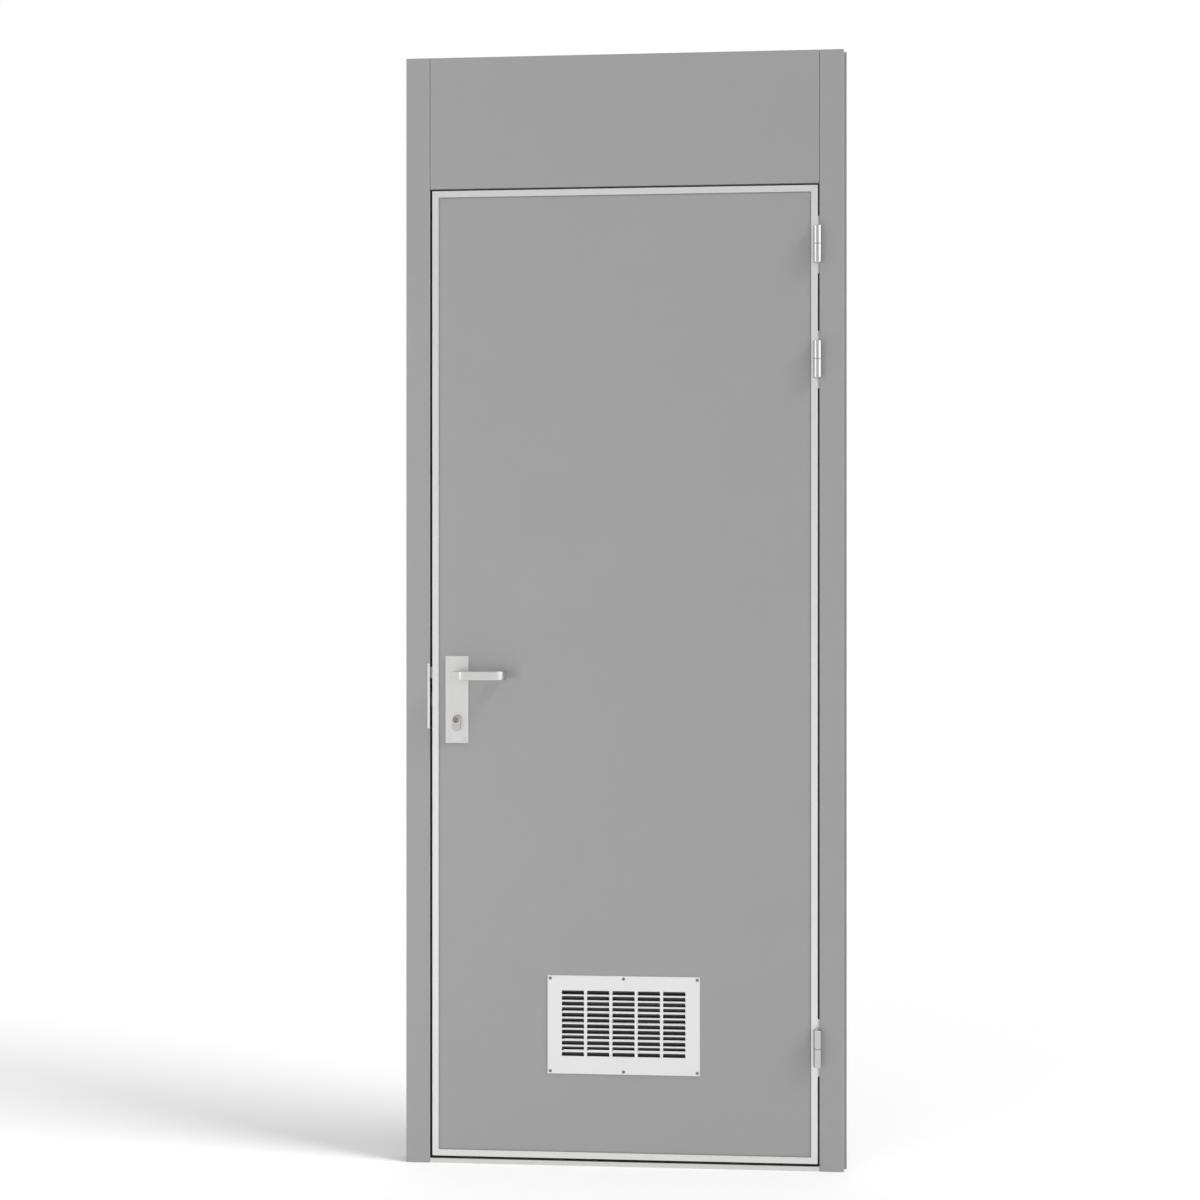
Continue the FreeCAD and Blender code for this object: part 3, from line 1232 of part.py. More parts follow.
left_in, right_in = "LeafLeft + TrimWidth", "LeafRight - TrimWidth"
low_in, high_in = "LeafBottom + TrimWidth", "LeafTop - TrimWidth"
lock_trim = edge_trim(
    "lock_trim_blank",
    [("LeafLeft", "LeafBottom"), (left_in, low_in), (left_in, high_in), ("LeafLeft", "LeafTop")],
    "XY_Plane", rectangle((skin_x[0], left_in), skin_depth), ("LeafBottom", "LeafTop"),
)
hinge_trim = edge_trim(
    "hinge_trim_blank",
    [("LeafRight", "LeafBottom"), ("LeafRight", "LeafTop"), (right_in, high_in), (right_in, low_in)],
    "XY_Plane", rectangle((right_in, skin_x[1]), skin_depth), ("LeafBottom", "LeafTop"),
)
node(cut("trim_lock_side", lock_trim, faceplate_hole))
node(cut("trim_hinge_side", hinge_trim, leaf_hinge_screws))
node(edge_trim(
    "trim_top",
    [("LeafLeft", "LeafTop"), (left_in, high_in), (right_in, high_in), ("LeafRight", "LeafTop")],
    "YZ_Plane", rectangle(skin_depth, (high_in, "CoreTop")), ("LeafLeft", "LeafRight"),
))
node(edge_trim(
    "trim_bottom",
    [("LeafLeft", "LeafBottom"), ("LeafRight", "LeafBottom"), (right_in, low_in), (left_in, low_in)],
    "YZ_Plane", rectangle(skin_depth, ("CoreBottom", low_in)), ("LeafLeft", "LeafRight"),
))

doc.recompute()
for item in doc.Objects:
    if "Invalid" in item.State or "Error" in item.State:
        raise RuntimeError(f"{item.Label} failed: {item.State}")
for pocket, base in pockets:
    if pocket.Shape.Volume >= base.Shape.Volume:
        raise RuntimeError(f"{pocket.Label} cuts nothing")
for item in nodes:
    if item.Shape.isNull() or not item.Shape.isValid():
        raise RuntimeError(f"{item.Label} has no valid shape")
os.makedirs("parts", exist_ok=True)
for item in nodes:
    item.Shape.exportStep(f"parts/{item.Label}.step")
    print(item.Label, len(item.Shape.Solids), round(item.Shape.Volume, 1))
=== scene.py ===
import json
import math

import bmesh
import bpy
from mathutils import Matrix, Vector, noise


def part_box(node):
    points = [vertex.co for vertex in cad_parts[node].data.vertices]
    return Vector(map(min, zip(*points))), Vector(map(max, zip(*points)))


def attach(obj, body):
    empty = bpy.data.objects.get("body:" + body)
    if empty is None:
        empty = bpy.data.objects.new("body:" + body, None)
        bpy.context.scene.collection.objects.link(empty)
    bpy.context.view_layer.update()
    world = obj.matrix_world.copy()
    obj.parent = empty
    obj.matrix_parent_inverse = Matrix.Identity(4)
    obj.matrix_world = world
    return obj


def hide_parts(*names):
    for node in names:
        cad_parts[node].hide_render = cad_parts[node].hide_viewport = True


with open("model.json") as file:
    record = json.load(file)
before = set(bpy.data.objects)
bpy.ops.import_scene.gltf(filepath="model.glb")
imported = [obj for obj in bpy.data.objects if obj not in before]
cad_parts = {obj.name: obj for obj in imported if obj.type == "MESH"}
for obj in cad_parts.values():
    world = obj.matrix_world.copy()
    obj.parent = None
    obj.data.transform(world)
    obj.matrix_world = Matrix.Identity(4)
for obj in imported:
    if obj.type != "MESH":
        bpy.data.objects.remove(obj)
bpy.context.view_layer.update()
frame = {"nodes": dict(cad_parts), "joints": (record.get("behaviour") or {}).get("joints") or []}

scene = bpy.context.scene
scene.view_settings.view_transform = "Standard"

# The studio: a level camera a little to the hinge side, a white world, a broad sun from the
# right that throws the soft shadow to the left, a low soft box in front on the left, and a
# white floor. Metal mirrors a duller room ahead of the door with a tall soft panel each side.

CAMERA_PLACE = (0.1889, -3.4639, 1.1717)
CAMERA_TURN = 3.94
FOCAL_LENGTH, SENSOR_WIDTH = 50, 36

camera_data = bpy.data.cameras.new("camera")
camera_data.lens = FOCAL_LENGTH
camera_data.sensor_width = SENSOR_WIDTH
camera = bpy.data.objects.new("camera", camera_data)
camera.location = CAMERA_PLACE
camera.rotation_euler = (math.radians(90), 0, math.radians(CAMERA_TURN))
scene.collection.objects.link(camera)
scene.camera = camera


def linear(colour):
    """An sRGB hex colour as the linear one that a shader takes."""
    channels = [int(colour[start:start + 2], 16) / 255 for start in (1, 3, 5)]
    return [c / 12.92 if c <= 0.04045 else ((c + 0.055) / 1.055) ** 2.4 for c in channels] + [1]


def add(tree, kind, inputs=None, **settings):
    """Adds a node, with its settings and with values or links for its inputs."""
    made = tree.nodes.new(kind)
    for name, value in settings.items():
        setattr(made, name, value)
    for name, value in (inputs or {}).items():
        if isinstance(value, bpy.types.NodeSocket):
            tree.links.new(value, made.inputs[name])
        else:
            made.inputs[name].default_value = value
    return made


def calculated(tree, operation, *values):
    """The result of a calculation with values or with other results."""
    return add(tree, "ShaderNodeMath", dict(enumerate(values)), operation=operation).outputs[0]


def ranged(tree, value, start, end, low, high, blend="LINEAR"):
    """A value that goes from low to high while another one goes from start to end."""
    return add(tree, "ShaderNodeMapRange", {
        "Value": value, "From Min": start, "From Max": end, "To Min": low, "To Max": high,
    }, interpolation_type=blend).outputs["Result"]


SKY_FOR_DIFFUSE = 0.66
ROOM_LOW, ROOM_HIGH, ROOM_BEHIND = 0.93, 0.68, 0.95
BLEND_FROM, BLEND_TO = -0.1, 0.3
SIDE_PANELS = [
    {"centre": -76, "half": 20, "soft": 30, "brightness": 1.8},
    {"centre": 76, "half": 16, "soft": 40, "brightness": 2.0},
]

world = bpy.data.worlds.new("studio")
world.use_nodes = True
scene.world = world
sky = world.node_tree
sky.nodes.clear()
direction = add(sky, "ShaderNodeTexCoord")
parts = add(sky, "ShaderNodeSeparateXYZ", {"Vector": direction.outputs["Generated"]})
ahead = calculated(sky, "MULTIPLY", parts.outputs["Y"], -1.0)
azimuth = calculated(sky, "ARCTAN2", parts.outputs["X"], ahead)


def panel(centre, half, soft, brightness):
    """How bright a tall panel is in each direction, by degrees from straight ahead."""
    turned = calculated(sky, "SUBTRACT", azimuth, math.radians(centre))
    away = calculated(sky, "ABSOLUTE", turned)
    edge = math.radians(half)
    return ranged(sky, away, edge, edge + math.radians(soft), brightness, 0, "SMOOTHSTEP")


mirrored = ranged(sky, parts.outputs["Z"], BLEND_FROM, BLEND_TO, ROOM_LOW, ROOM_HIGH,
                  "SMOOTHSTEP")
back_wall = ranged(sky, parts.outputs["Y"], BLEND_FROM, BLEND_TO, 0, ROOM_BEHIND, "SMOOTHSTEP")
for light in [back_wall] + [panel(**sizes) for sizes in SIDE_PANELS]:
    mirrored = calculated(sky, "MAXIMUM", mirrored, light)
rays = add(sky, "ShaderNodeLightPath")
unseen = add(sky, "ShaderNodeMix", {
    "Factor": rays.outputs["Is Glossy Ray"], 2: SKY_FOR_DIFFUSE, 3: mirrored,
})
seen = calculated(
    sky, "MAXIMUM", rays.outputs["Is Camera Ray"], rays.outputs["Is Transmission Ray"],
)
strength = add(sky, "ShaderNodeMix", {
    "Factor": seen, 2: unseen.outputs["Result"], 3: 1.0,
})
white = add(sky, "ShaderNodeBackground", {
    "Color": (1, 1, 1, 1), "Strength": strength.outputs["Result"],
})
add(sky, "ShaderNodeOutputWorld", {"Surface": white.outputs[0]})


def lamp(name, kind, place, target, energy, **settings):
    """A lamp at a place that shines towards a target and isn't mirrored itself."""
    data = bpy.data.lights.new(name, kind)
    data.energy = energy
    for setting, value in settings.items():
        setattr(data, setting, value)
    made = bpy.data.objects.new(name, data)
    made.location = place
    made.rotation_euler = (Vector(target) - Vector(place)).to_track_quat("-Z", "Y").to_euler()
    made.visible_glossy = False
    scene.collection.objects.link(made)


lamp("sun_right", "SUN", place=(4, -1.2, 3.9), target=(0, 0, 0), energy=1.95,
     angle=math.radians(21))
lamp("softbox_left", "AREA", place=(-2.6, -3.4, 0.7), target=(-0.1, 0, 1.3), energy=36,
     shape="RECTANGLE", size=0.9, size_y=1.4)

FLOOR_REACH = 60
PAPER_WHITE, PAPER_LIFT = 0.9, 0.04

floor_mesh = bpy.data.meshes.new("floor")
floor_shape = bmesh.new()
bmesh.ops.create_grid(floor_shape, x_segments=1, y_segments=1, size=FLOOR_REACH)
floor_shape.to_mesh(floor_mesh)
floor_shape.free()
floor = bpy.data.objects.new("floor", floor_mesh)
scene.collection.objects.link(floor)
paper = bpy.data.materials.new("white_paper_sweep")
paper.use_nodes = True
paper_surface = paper.node_tree.nodes["Principled BSDF"]
paper_surface.inputs["Base Color"].default_value = (PAPER_WHITE, PAPER_WHITE, PAPER_WHITE, 1)
paper_surface.inputs["Roughness"].default_value = 1.0
paper_surface.inputs["Specular IOR Level"].default_value = 0.0
paper_surface.inputs["Emission Color"].default_value = (1, 1, 1, 1)
paper_rays = add(paper.node_tree, "ShaderNodeLightPath")
lift = calculated(paper.node_tree, "MULTIPLY", paper_rays.outputs["Is Camera Ray"], PAPER_LIFT)
paper.node_tree.links.new(lift, paper_surface.inputs["Emission Strength"])
floor_mesh.materials.append(paper)

# Wall posts: 1.5 mm steel sheet folded to a hollow post 50 mm square, full height, with a
# groove for the next panel on the lock side and a tongue on the hinge side. Stoved enamel in
# a mid grey: an even satin coat with a faint orange peel.

MM = 0.001
UP = Vector((0, 0, 1))
CLOUD_SIZE = 0.16
GLOSS_SPREAD = 0.04
LEVEL, STRAIGHT = 0.9, 0.999


class Extent:
    """Where a CAD node is at rest, in millimetres."""

    def __init__(self, name):
        low, high = ([round(value / MM, 2) for value in corner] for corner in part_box(name))
        self.low, self.high = low, high
        self.left, self.front, self.bottom = low
        self.right, self.rear, self.top = high


def new_material(name):
    """A material, its nodes, the inputs of its surface and the place, for its patterns."""
    material = bpy.data.materials.new(name)
    material.use_nodes = True
    tree = material.node_tree
    place = add(tree, "ShaderNodeTexCoord").outputs["Object"]
    return material, tree, tree.nodes["Principled BSDF"].inputs, place


def pattern(tree, place, size, detail, roughness):
    """A noise pattern from 0 to 1, of a size in metres."""
    return add(tree, "ShaderNodeTexNoise", {
        "Vector": place, "Scale": 1 / size, "Detail": detail, "Roughness": roughness,
    }).outputs["Fac"]


def raise_by(tree, surface, height, strength, distance):
    """Gives a surface the relief of a pattern."""
    relief = add(tree, "ShaderNodeBump", {
        "Height": height, "Strength": strength, "Distance": distance,
    })
    tree.links.new(relief.outputs["Normal"], surface["Normal"])


def mottled(name, colour, dark, peel, roughness):
    """A satin coat with faint clouds and a peel, whose grain is in metres."""
    material, tree, surface, place = new_material(name)
    clouds = pattern(tree, place, CLOUD_SIZE, detail=3, roughness=0.6)
    tint = add(tree, "ShaderNodeMix", {
        0: clouds, 6: linear(dark), 7: linear(colour),
    }, data_type="RGBA")
    tree.links.new(tint.outputs[2], surface["Base Color"])
    skin = pattern(tree, place, peel, detail=2, roughness=0.5)
    sheen = ranged(tree, clouds, 0, 1, roughness - GLOSS_SPREAD, roughness + GLOSS_SPREAD)
    tree.links.new(sheen, surface["Roughness"])
    raise_by(tree, surface, skin, strength=0.12, distance=0.0004)
    return material


ENAMEL = {"colour": "#979797", "dark": "#949494", "peel": 0.004, "roughness": 0.4}
stoved_enamel = mottled("stoved_enamel", **ENAMEL)


def face_of(shape, points):
    """A face through the points."""
    return shape.faces.new([shape.verts.new(point) for point in points])


def pushed(shape, faces, by):
    """Extrudes faces by a vector, and returns the faces at the far end."""
    grown = bmesh.ops.extrude_face_region(shape, geom=faces)["geom"]
    moved = [item for item in grown if isinstance(item, bmesh.types.BMVert)]
    bmesh.ops.translate(shape, verts=moved, vec=by)
    return [item for item in grown if isinstance(item, bmesh.types.BMFace)]


def rounded(shape, edges, radius, segments=3):
    """Rounds the edges."""
    bmesh.ops.bevel(
        shape, geom=list(edges), offset=radius, offset_type="OFFSET", segments=segments,
        profile=0.5, affect="EDGES", material=-1, clamp_overlap=True,
    )


def turn_outward(shape):
    """Turns all faces outward."""
    bmesh.ops.recalc_face_normals(shape, faces=shape.faces)


def cut_lines(shape, places, axis):
    """Cuts the whole shape's faces at places along an axis, 0 for x, 1 for y or 2 for z."""
    normal = [0, 0, 0]
    normal[axis] = 1
    for place in places:
        spot = [0, 0, 0]
        spot[axis] = place
        bmesh.ops.bisect_plane(
            shape, geom=shape.verts[:] + shape.edges[:] + shape.faces[:],
            plane_co=spot, plane_no=normal,
        )


def middle(edge):
    """The middle of an edge."""
    return (edge.verts[0].co + edge.verts[1].co) / 2


def runs_along(edge, axis):
    """Whether an edge lies along an axis."""
    line = edge.verts[1].co - edge.verts[0].co
    return abs(line[axis]) > STRAIGHT * line.length


def corners(shape, degrees=30):
    """The edges at which the surface turns by more than an angle."""
    return [edge for edge in shape.edges if edge.calc_face_angle(0) > math.radians(degrees)]


def mesh_of(shape, name):
    """Turns a shape into a mesh."""
    mesh = bpy.data.meshes.new(name)
    shape.to_mesh(mesh)
    shape.free()
    return mesh


def piece(name, shape, material, body, slot, *nodes, smooth=40, sheet=0):
    """Makes an object of a shape in millimetres, on its body and in place of its CAD nodes."""
    bmesh.ops.remove_doubles(shape, verts=shape.verts, dist=0.001)
    turn_outward(shape)
    for face in shape.faces:
        face.smooth = True
    for edge in shape.edges:
        edge.smooth = edge.calc_face_angle(0) < math.radians(smooth)
    bmesh.ops.scale(shape, vec=(MM, MM, MM), verts=shape.verts)
    mesh = mesh_of(shape, name)
    mesh.materials.append(material)
    made = bpy.data.objects.new(name, mesh)
    scene.collection.objects.link(made)
    if sheet:
        wall = made.modifiers.new("wall", "SOLIDIFY")
        wall.thickness = sheet * MM
        wall.offset = -1
        wall.use_even_offset = True
    flats = made.modifiers.new("flats", "WEIGHTED_NORMAL")
    flats.keep_sharp = True
    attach(made, body)
    if nodes:
        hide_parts(*nodes)


SHEET = 1.5
FOLD, GROOVE_FOLD = 2.2, 0.8
TONGUE_HALF, TONGUE_PLAY = 5, 0.4
SEAM = 0.1
left_post, right_post = Extent("lock_post"), Extent("hinge_post")
FRONT, REAR, UNIT_TOP = left_post.front, left_post.rear, left_post.top
TONGUE_ROOT, TONGUE_END = -left_post.left, right_post.right
GROOVE_HALF = TONGUE_HALF + TONGUE_PLAY
GROOVE_FLOOR = left_post.left + TONGUE_END - TONGUE_ROOT + TONGUE_PLAY


def folded_post(outline):
    """A tube of the outline, with its folds rounded and both ends open."""
    shape = bmesh.new()
    face_of(shape, [(x, y, 0) for x, y in outline])
    pushed(shape, shape.faces[:], UP * UNIT_TOP)
    upright = [edge for edge in shape.edges if runs_along(edge, 2)]
    outer = [edge for edge in upright if abs(middle(edge).y) > REAR - FOLD]
    inner = [edge for edge in upright if edge not in outer]
    rounded(shape, outer, FOLD, segments=5)
    rounded(shape, [edge for edge in inner if edge.is_valid], GROOVE_FOLD, segments=2)
    ends = [face for face in shape.faces if abs(face.normal.z) > LEVEL]
    bmesh.ops.delete(shape, geom=ends, context="FACES")
    return shape


lock_post = folded_post([
    (left_post.left, FRONT), (left_post.right, FRONT), (left_post.right, REAR),
    (left_post.left, REAR), (left_post.left, GROOVE_HALF), (GROOVE_FLOOR, GROOVE_HALF),
    (GROOVE_FLOOR, -GROOVE_HALF), (left_post.left, -GROOVE_HALF),
])
strike_at = Extent("strike_plate")
cut_lines(lock_post, [strike_at.bottom, strike_at.top], 2)
cut_lines(lock_post, [strike_at.rear + SEAM], 1)
cut_lines(lock_post, [strike_at.left - SEAM], 0)
strike_opening = []
for face in lock_post.faces:
    centre = face.calc_center_median()
    if (strike_at.bottom < centre.z < strike_at.top
            and centre.x > strike_at.left - SEAM and centre.y < strike_at.rear + SEAM):
        strike_opening.append(face)
bmesh.ops.delete(lock_post, geom=strike_opening, context="FACES")
piece("lock_post_casing", lock_post, stoved_enamel, "frame", "grey_paint", "lock_post",
      sheet=SHEET)
piece("hinge_post_casing", folded_post([
    (TONGUE_ROOT, FRONT), (TONGUE_ROOT, -TONGUE_HALF), (TONGUE_END, -TONGUE_HALF),
    (TONGUE_END, TONGUE_HALF), (TONGUE_ROOT, TONGUE_HALF), (TONGUE_ROOT, REAR),
    (right_post.left, REAR), (right_post.left, FRONT),
]), stoved_enamel, "frame", "grey_paint", "hinge_post", sheet=SHEET)

# Panel over the door: a casing folded from the same sheet round mineral wool. Its edges are
# folded a little tighter than the posts', which leaves the fine seam at each post, and both
# lower corners have the small relief notch where two folds meet.

OVERCUT = 1
NOTCH, NOTCH_DEPTH = 3.2, 3
over_door = Extent("transom_casing")


def box(shape, low, high):
    """Adds a box between two corners, and returns its vertices."""
    size = [b - a for a, b in zip(low, high)]
    centre = [(a + b) / 2 for a, b in zip(low, high)]
    matrix = Matrix.Translation(centre) @ Matrix.Diagonal((*size, 1))
    return bmesh.ops.create_cube(shape, size=1, matrix=matrix)["verts"]


def combined(shape, other, operation="DIFFERENCE"):
    """The first shape with the second one taken out of it or joined to it."""
    pair = []
    for item in (shape, other):
        pair.append(bpy.data.objects.new("blank", mesh_of(item, "blank")))
        scene.collection.objects.link(pair[-1])
    carve = pair[0].modifiers.new("carve", "BOOLEAN")
    carve.operation = operation
    carve.solver = "EXACT"
    carve.object = pair[1]
    graph = bpy.context.evaluated_depsgraph_get()
    carved = bpy.data.meshes.new_from_object(pair[0].evaluated_get(graph))
    result = bmesh.new()
    result.from_mesh(carved)
    bpy.data.meshes.remove(carved)
    for item in pair:
        bpy.data.meshes.remove(item.data)
    return result


transom = bmesh.new()
box(transom, over_door.low, over_door.high)
side_folds = [edge for edge in transom.edges if runs_along(edge, 2)]
rounded(transom, side_folds, FOLD / 2, segments=4)
long_folds = [edge for edge in corners(transom) if runs_along(edge, 0)]
rounded(transom, long_folds, FOLD / 3)
notches = bmesh.new()
for side in (-1, 1):
    ends = sorted(((over_door.right + OVERCUT) * side, (over_door.right - NOTCH / 2) * side))
    box(notches, (ends[0], FRONT - OVERCUT, over_door.bottom - OVERCUT),
        (ends[1], FRONT + NOTCH_DEPTH, over_door.bottom + NOTCH))
inside = bmesh.new()
box(inside, (over_door.left - OVERCUT, FRONT + SHEET, over_door.bottom + SHEET),
    (over_door.right + OVERCUT, REAR - SHEET, over_door.top - SHEET))
piece("transom_casing_panel", combined(combined(transom, notches), inside), stoved_enamel,
      "frame", "grey_paint", "transom_casing")

# Mineral wool: stiff yellow-brown slabs cut to fit, seen only where the posts end. Cut wool
# is matt and fibrous, its layers lie along the post, and its cut ends are rough.

SLACK = 0.1
SUNK_END = 2.5
FIBRE = 0.0015
TUFT_CUTS, TUFT_RISE, TUFT_SCALE = 9, 1.4, 0.4


def shade_by(tree, surface, height, *stops):
    """Colours a surface by a pattern, with a colour at each stop."""
    ramp = add(tree, "ShaderNodeValToRGB", {"Fac": height})
    for element, (position, colour) in zip(ramp.color_ramp.elements, stops):
        element.position = position
        element.color = linear(colour)
    tree.links.new(ramp.outputs[0], surface["Base Color"])


def wool():
    """Cut mineral wool, its fibres drawn out along the post."""
    material, tree, surface, place = new_material("cut_mineral_wool")
    lying = add(tree, "ShaderNodeMapping", {"Vector": place, "Scale": (1.0, 1.0, 0.15)})
    fibres = pattern(tree, lying.outputs[0], FIBRE, detail=6, roughness=0.7)
    shade_by(tree, surface, fibres, (0.35, "#7C6A3E"), (0.65, "#C7B57C"))
    surface["Roughness"].default_value = 0.95
    surface["Specular IOR Level"].default_value = 0.15
    raise_by(tree, surface, fibres, strength=0.8, distance=0.001)
    return material


def wool_strip(shape, low, high, foot=0, top=UNIT_TOP):
    """A strip of wool whose cut ends are rough and, at the post's ends, a little sunk."""
    foot, top = max(foot, SUNK_END), min(top, UNIT_TOP - SUNK_END)
    verts = box(shape, (*low, foot), (*high, top))
    ends = {face for vert in verts for face in vert.link_faces if abs(face.normal.z) > LEVEL}
    edges = {edge for face in ends for edge in face.edges}
    made = bmesh.ops.subdivide_edges(
        shape, edges=list(edges), cuts=TUFT_CUTS, use_grid_fill=True,
    )
    for tuft in made["geom_inner"]:
        if isinstance(tuft, bmesh.types.BMVert):
            tuft.co.z += TUFT_RISE * noise.noise(tuft.co * TUFT_SCALE)


mineral_wool = wool()
WOOL_FRONT, WOOL_REAR = FRONT + SHEET + SLACK, REAR - SHEET - SLACK
outer_wall, inner_wall = left_post.left + SHEET + SLACK, left_post.right - SHEET - SLACK
groove_wall = GROOVE_FLOOR + SHEET
beside_groove = GROOVE_HALF + SHEET + SLACK
beside_strike = Extent("strike_box").left - SLACK
lock_wool = bmesh.new()
for low_end, high_end in ((0, strike_at.bottom), (strike_at.top, UNIT_TOP)):
    wool_strip(lock_wool, (groove_wall, WOOL_FRONT), (inner_wall, WOOL_REAR), low_end, high_end)
wool_strip(lock_wool, (groove_wall, WOOL_FRONT), (beside_strike, WOOL_REAR),
           strike_at.bottom, strike_at.top)
wool_strip(lock_wool, (outer_wall, WOOL_FRONT), (groove_wall - SLACK, -beside_groove))
wool_strip(lock_wool, (outer_wall, beside_groove), (groove_wall - SLACK, WOOL_REAR))
piece("lock_post_wool", lock_wool, mineral_wool, "frame", "mineral_wool", "lock_post_core")
tongue_half = TONGUE_HALF - SHEET - SLACK
hinge_wool = bmesh.new()
wool_strip(hinge_wool, (Extent("hinge_post_stiffener").right + SLACK, WOOL_FRONT),
           (TONGUE_ROOT - SHEET - SLACK, WOOL_REAR))
wool_strip(hinge_wool, (TONGUE_ROOT - SHEET, -tongue_half),
           (TONGUE_END - SHEET - SLACK, tongue_half))
piece("hinge_post_wool", hinge_wool, mineral_wool, "frame", "mineral_wool", "hinge_post_core")


def dress(material, *names, edge=0.0):
    """Gives CAD nodes a material and, where an edge is given, rounds their sharp edges by it."""
    for name in names:
        node = frame["nodes"][name]
        node.data.materials.clear()
        node.data.materials.append(material)
        if edge:
            worn = node.modifiers.new("worn_edges", "BEVEL")
            worn.width = edge * MM
            worn.segments = 2
            worn.limit_method = "ANGLE"
            worn.angle_limit = math.radians(50)
            worn.harden_normals = False


dress(mineral_wool, "transom_core", "leaf_core")

# Threshold: a stainless channel, ground along its length, over a plain board. Its back edge
# stands up as a stop for the seal.

GRAIN_STRETCH = 0.02
SCRATCH_RANGE = (0.3, 0.7)


def ground(name, colour, roughness, grain, along, contrast=0.06):
    """Metal ground in one direction: fine scratches along an axis, 0, 1 or 2, or speckle."""
    material, tree, surface, place = new_material(name)
    surface["Metallic"].default_value = 1.0
    stretch = [1.0, 1.0, 1.0]
    if along is not None:
        stretch[along] = GRAIN_STRETCH
    drawn = add(tree, "ShaderNodeMapping", {"Vector": place, "Scale": stretch})
    scratches = pattern(tree, drawn.outputs[0], grain, detail=4, roughness=0.65)
    tint = ranged(tree, scratches, *SCRATCH_RANGE, 1 - contrast, 1)
    shade = add(tree, "ShaderNodeVectorMath", {
        0: linear(colour)[:3], "Scale": tint,
    }, operation="SCALE")
    tree.links.new(shade.outputs[0], surface["Base Color"])
    gloss = ranged(tree, scratches, *SCRATCH_RANGE, roughness - GLOSS_SPREAD,
                   roughness + GLOSS_SPREAD)
    tree.links.new(gloss, surface["Roughness"])
    raise_by(tree, surface, scratches, strength=0.12, distance=0.0001)
    return material


ground_sill = ground("ground_stainless_sill", "#DCDCDA", roughness=0.36, grain=0.0012, along=0)
dress(ground_sill, "threshold", edge=0.3)
pressed_board = mottled("pressed_filler_board", "#B8B4A6", "#A9A495", peel=0.003, roughness=0.9)
dress(pressed_board, "threshold_core")

# Stops: flat bars welded behind the posts and the panel, in the same enamel, with the soft
# edges that a thick coat leaves.

dress(stoved_enamel, "lock_side_stop", "hinge_side_stop", "head_stop", edge=0.6)

# Door seal: black rubber with a crowned face that runs round the stops as one ring, matt with
# a faint bloom. It is glued to the stops and stays just clear of the closed leaf.

NEAR = 0.01
SEAL_WIDTH, SEAL_CROWN = 10, 1.5
BLOOM = 0.02
seal_at = Extent("door_seal")


def extruded_rubber():
    """Black rubber with a faint bloom."""
    material, tree, surface, place = new_material("extruded_rubber")
    bloom = pattern(tree, place, BLOOM, detail=4, roughness=0.6)
    shade_by(tree, surface, bloom, (0, "#1B1B1C"), (1, "#2B2B2D"))
    surface["Roughness"].default_value = 0.7
    raise_by(tree, surface, bloom, strength=0.2, distance=0.0003)
    return material


def upright_face(shape, outside, y):
    """Adds the front view of an extent as a face at y."""
    face_of(shape, [
        (outside.left, y, outside.bottom), (outside.right, y, outside.bottom),
        (outside.right, y, outside.top), (outside.left, y, outside.top),
    ])


seal_rubber = extruded_rubber()
seal = bmesh.new()
upright_face(seal, seal_at, seal_at.rear)
seal.normal_update()
ring = bmesh.ops.inset_region(
    seal, faces=seal.faces[:], thickness=SEAL_WIDTH, use_boundary=True, use_even_offset=True,
)
hole = [face for face in seal.faces if face not in ring["faces"]]
bmesh.ops.delete(seal, geom=hole, context="FACES")
pushed(seal, seal.faces[:], (0, seal_at.front - seal_at.rear, 0))
rims = [edge for edge in corners(seal, 60) if abs(middle(edge).y - seal_at.front) < NEAR
        and abs(edge.verts[0].co.y - edge.verts[1].co.y) < NEAR]
rounded(seal, rims, SEAL_CROWN, segments=5)
piece("bulb_seal", seal, seal_rubber, "frame", "seal_rubber", "door_seal", smooth=60)

# Fire strips: graphite strips stuck in the gap, dull and almost black.

graphite_strip = mottled("graphite_strip", "#33322F", "#2A2927", peel=0.002, roughness=0.75)
dress(graphite_strip, "intumescent_strips", edge=0.3)

# Strike: a 1.5 mm stainless plate let in flush in the post's edge, bent over a 5 mm lip at
# the front, with a hole for each bolt, two sunk screws and a zinc-plated box behind it.

SCREW_SEGMENTS = 28
HEAD_CHAMFER, HEAD_CHAMFER_DEPTH, HEAD_RIM = 0.25, 0.2, 0.5
CROSS_REACH, CROSS_HALF, CROSS_DEPTH = 0.55, 0.13, 0.4
TWIST_FIRST, TWIST_STEP = 12, 37
fine_stainless = ground("finely_ground_stainless", "#E9E9E8", roughness=0.3, grain=0.0008, along=2)
zinc_plate = ground("zinc_plated_steel", "#C9CCCE", roughness=0.42, grain=0.004, along=2)


def spun(profile, segments):
    """A closed solid of a half profile of (radius, height) points, spun round z."""
    shape = bmesh.new()
    verts = [shape.verts.new((radius, 0, height)) for radius, height in profile]
    edges = [shape.edges.new(pair) for pair in zip(verts, verts[1:])]
    bmesh.ops.spin(
        shape, geom=verts + edges, cent=(0, 0, 0), axis=(0, 0, 1), angle=math.tau,
        steps=segments, use_merge=True,
    )
    bmesh.ops.remove_doubles(shape, verts=shape.verts, dist=0.0005)
    turn_outward(shape)
    return shape


def prism(shape, outline, low, high):
    """Adds an outline's upright prism between two heights."""
    start = face_of(shape, [(x, y, low) for x, y in outline])
    pushed(shape, [start], UP * (high - low))


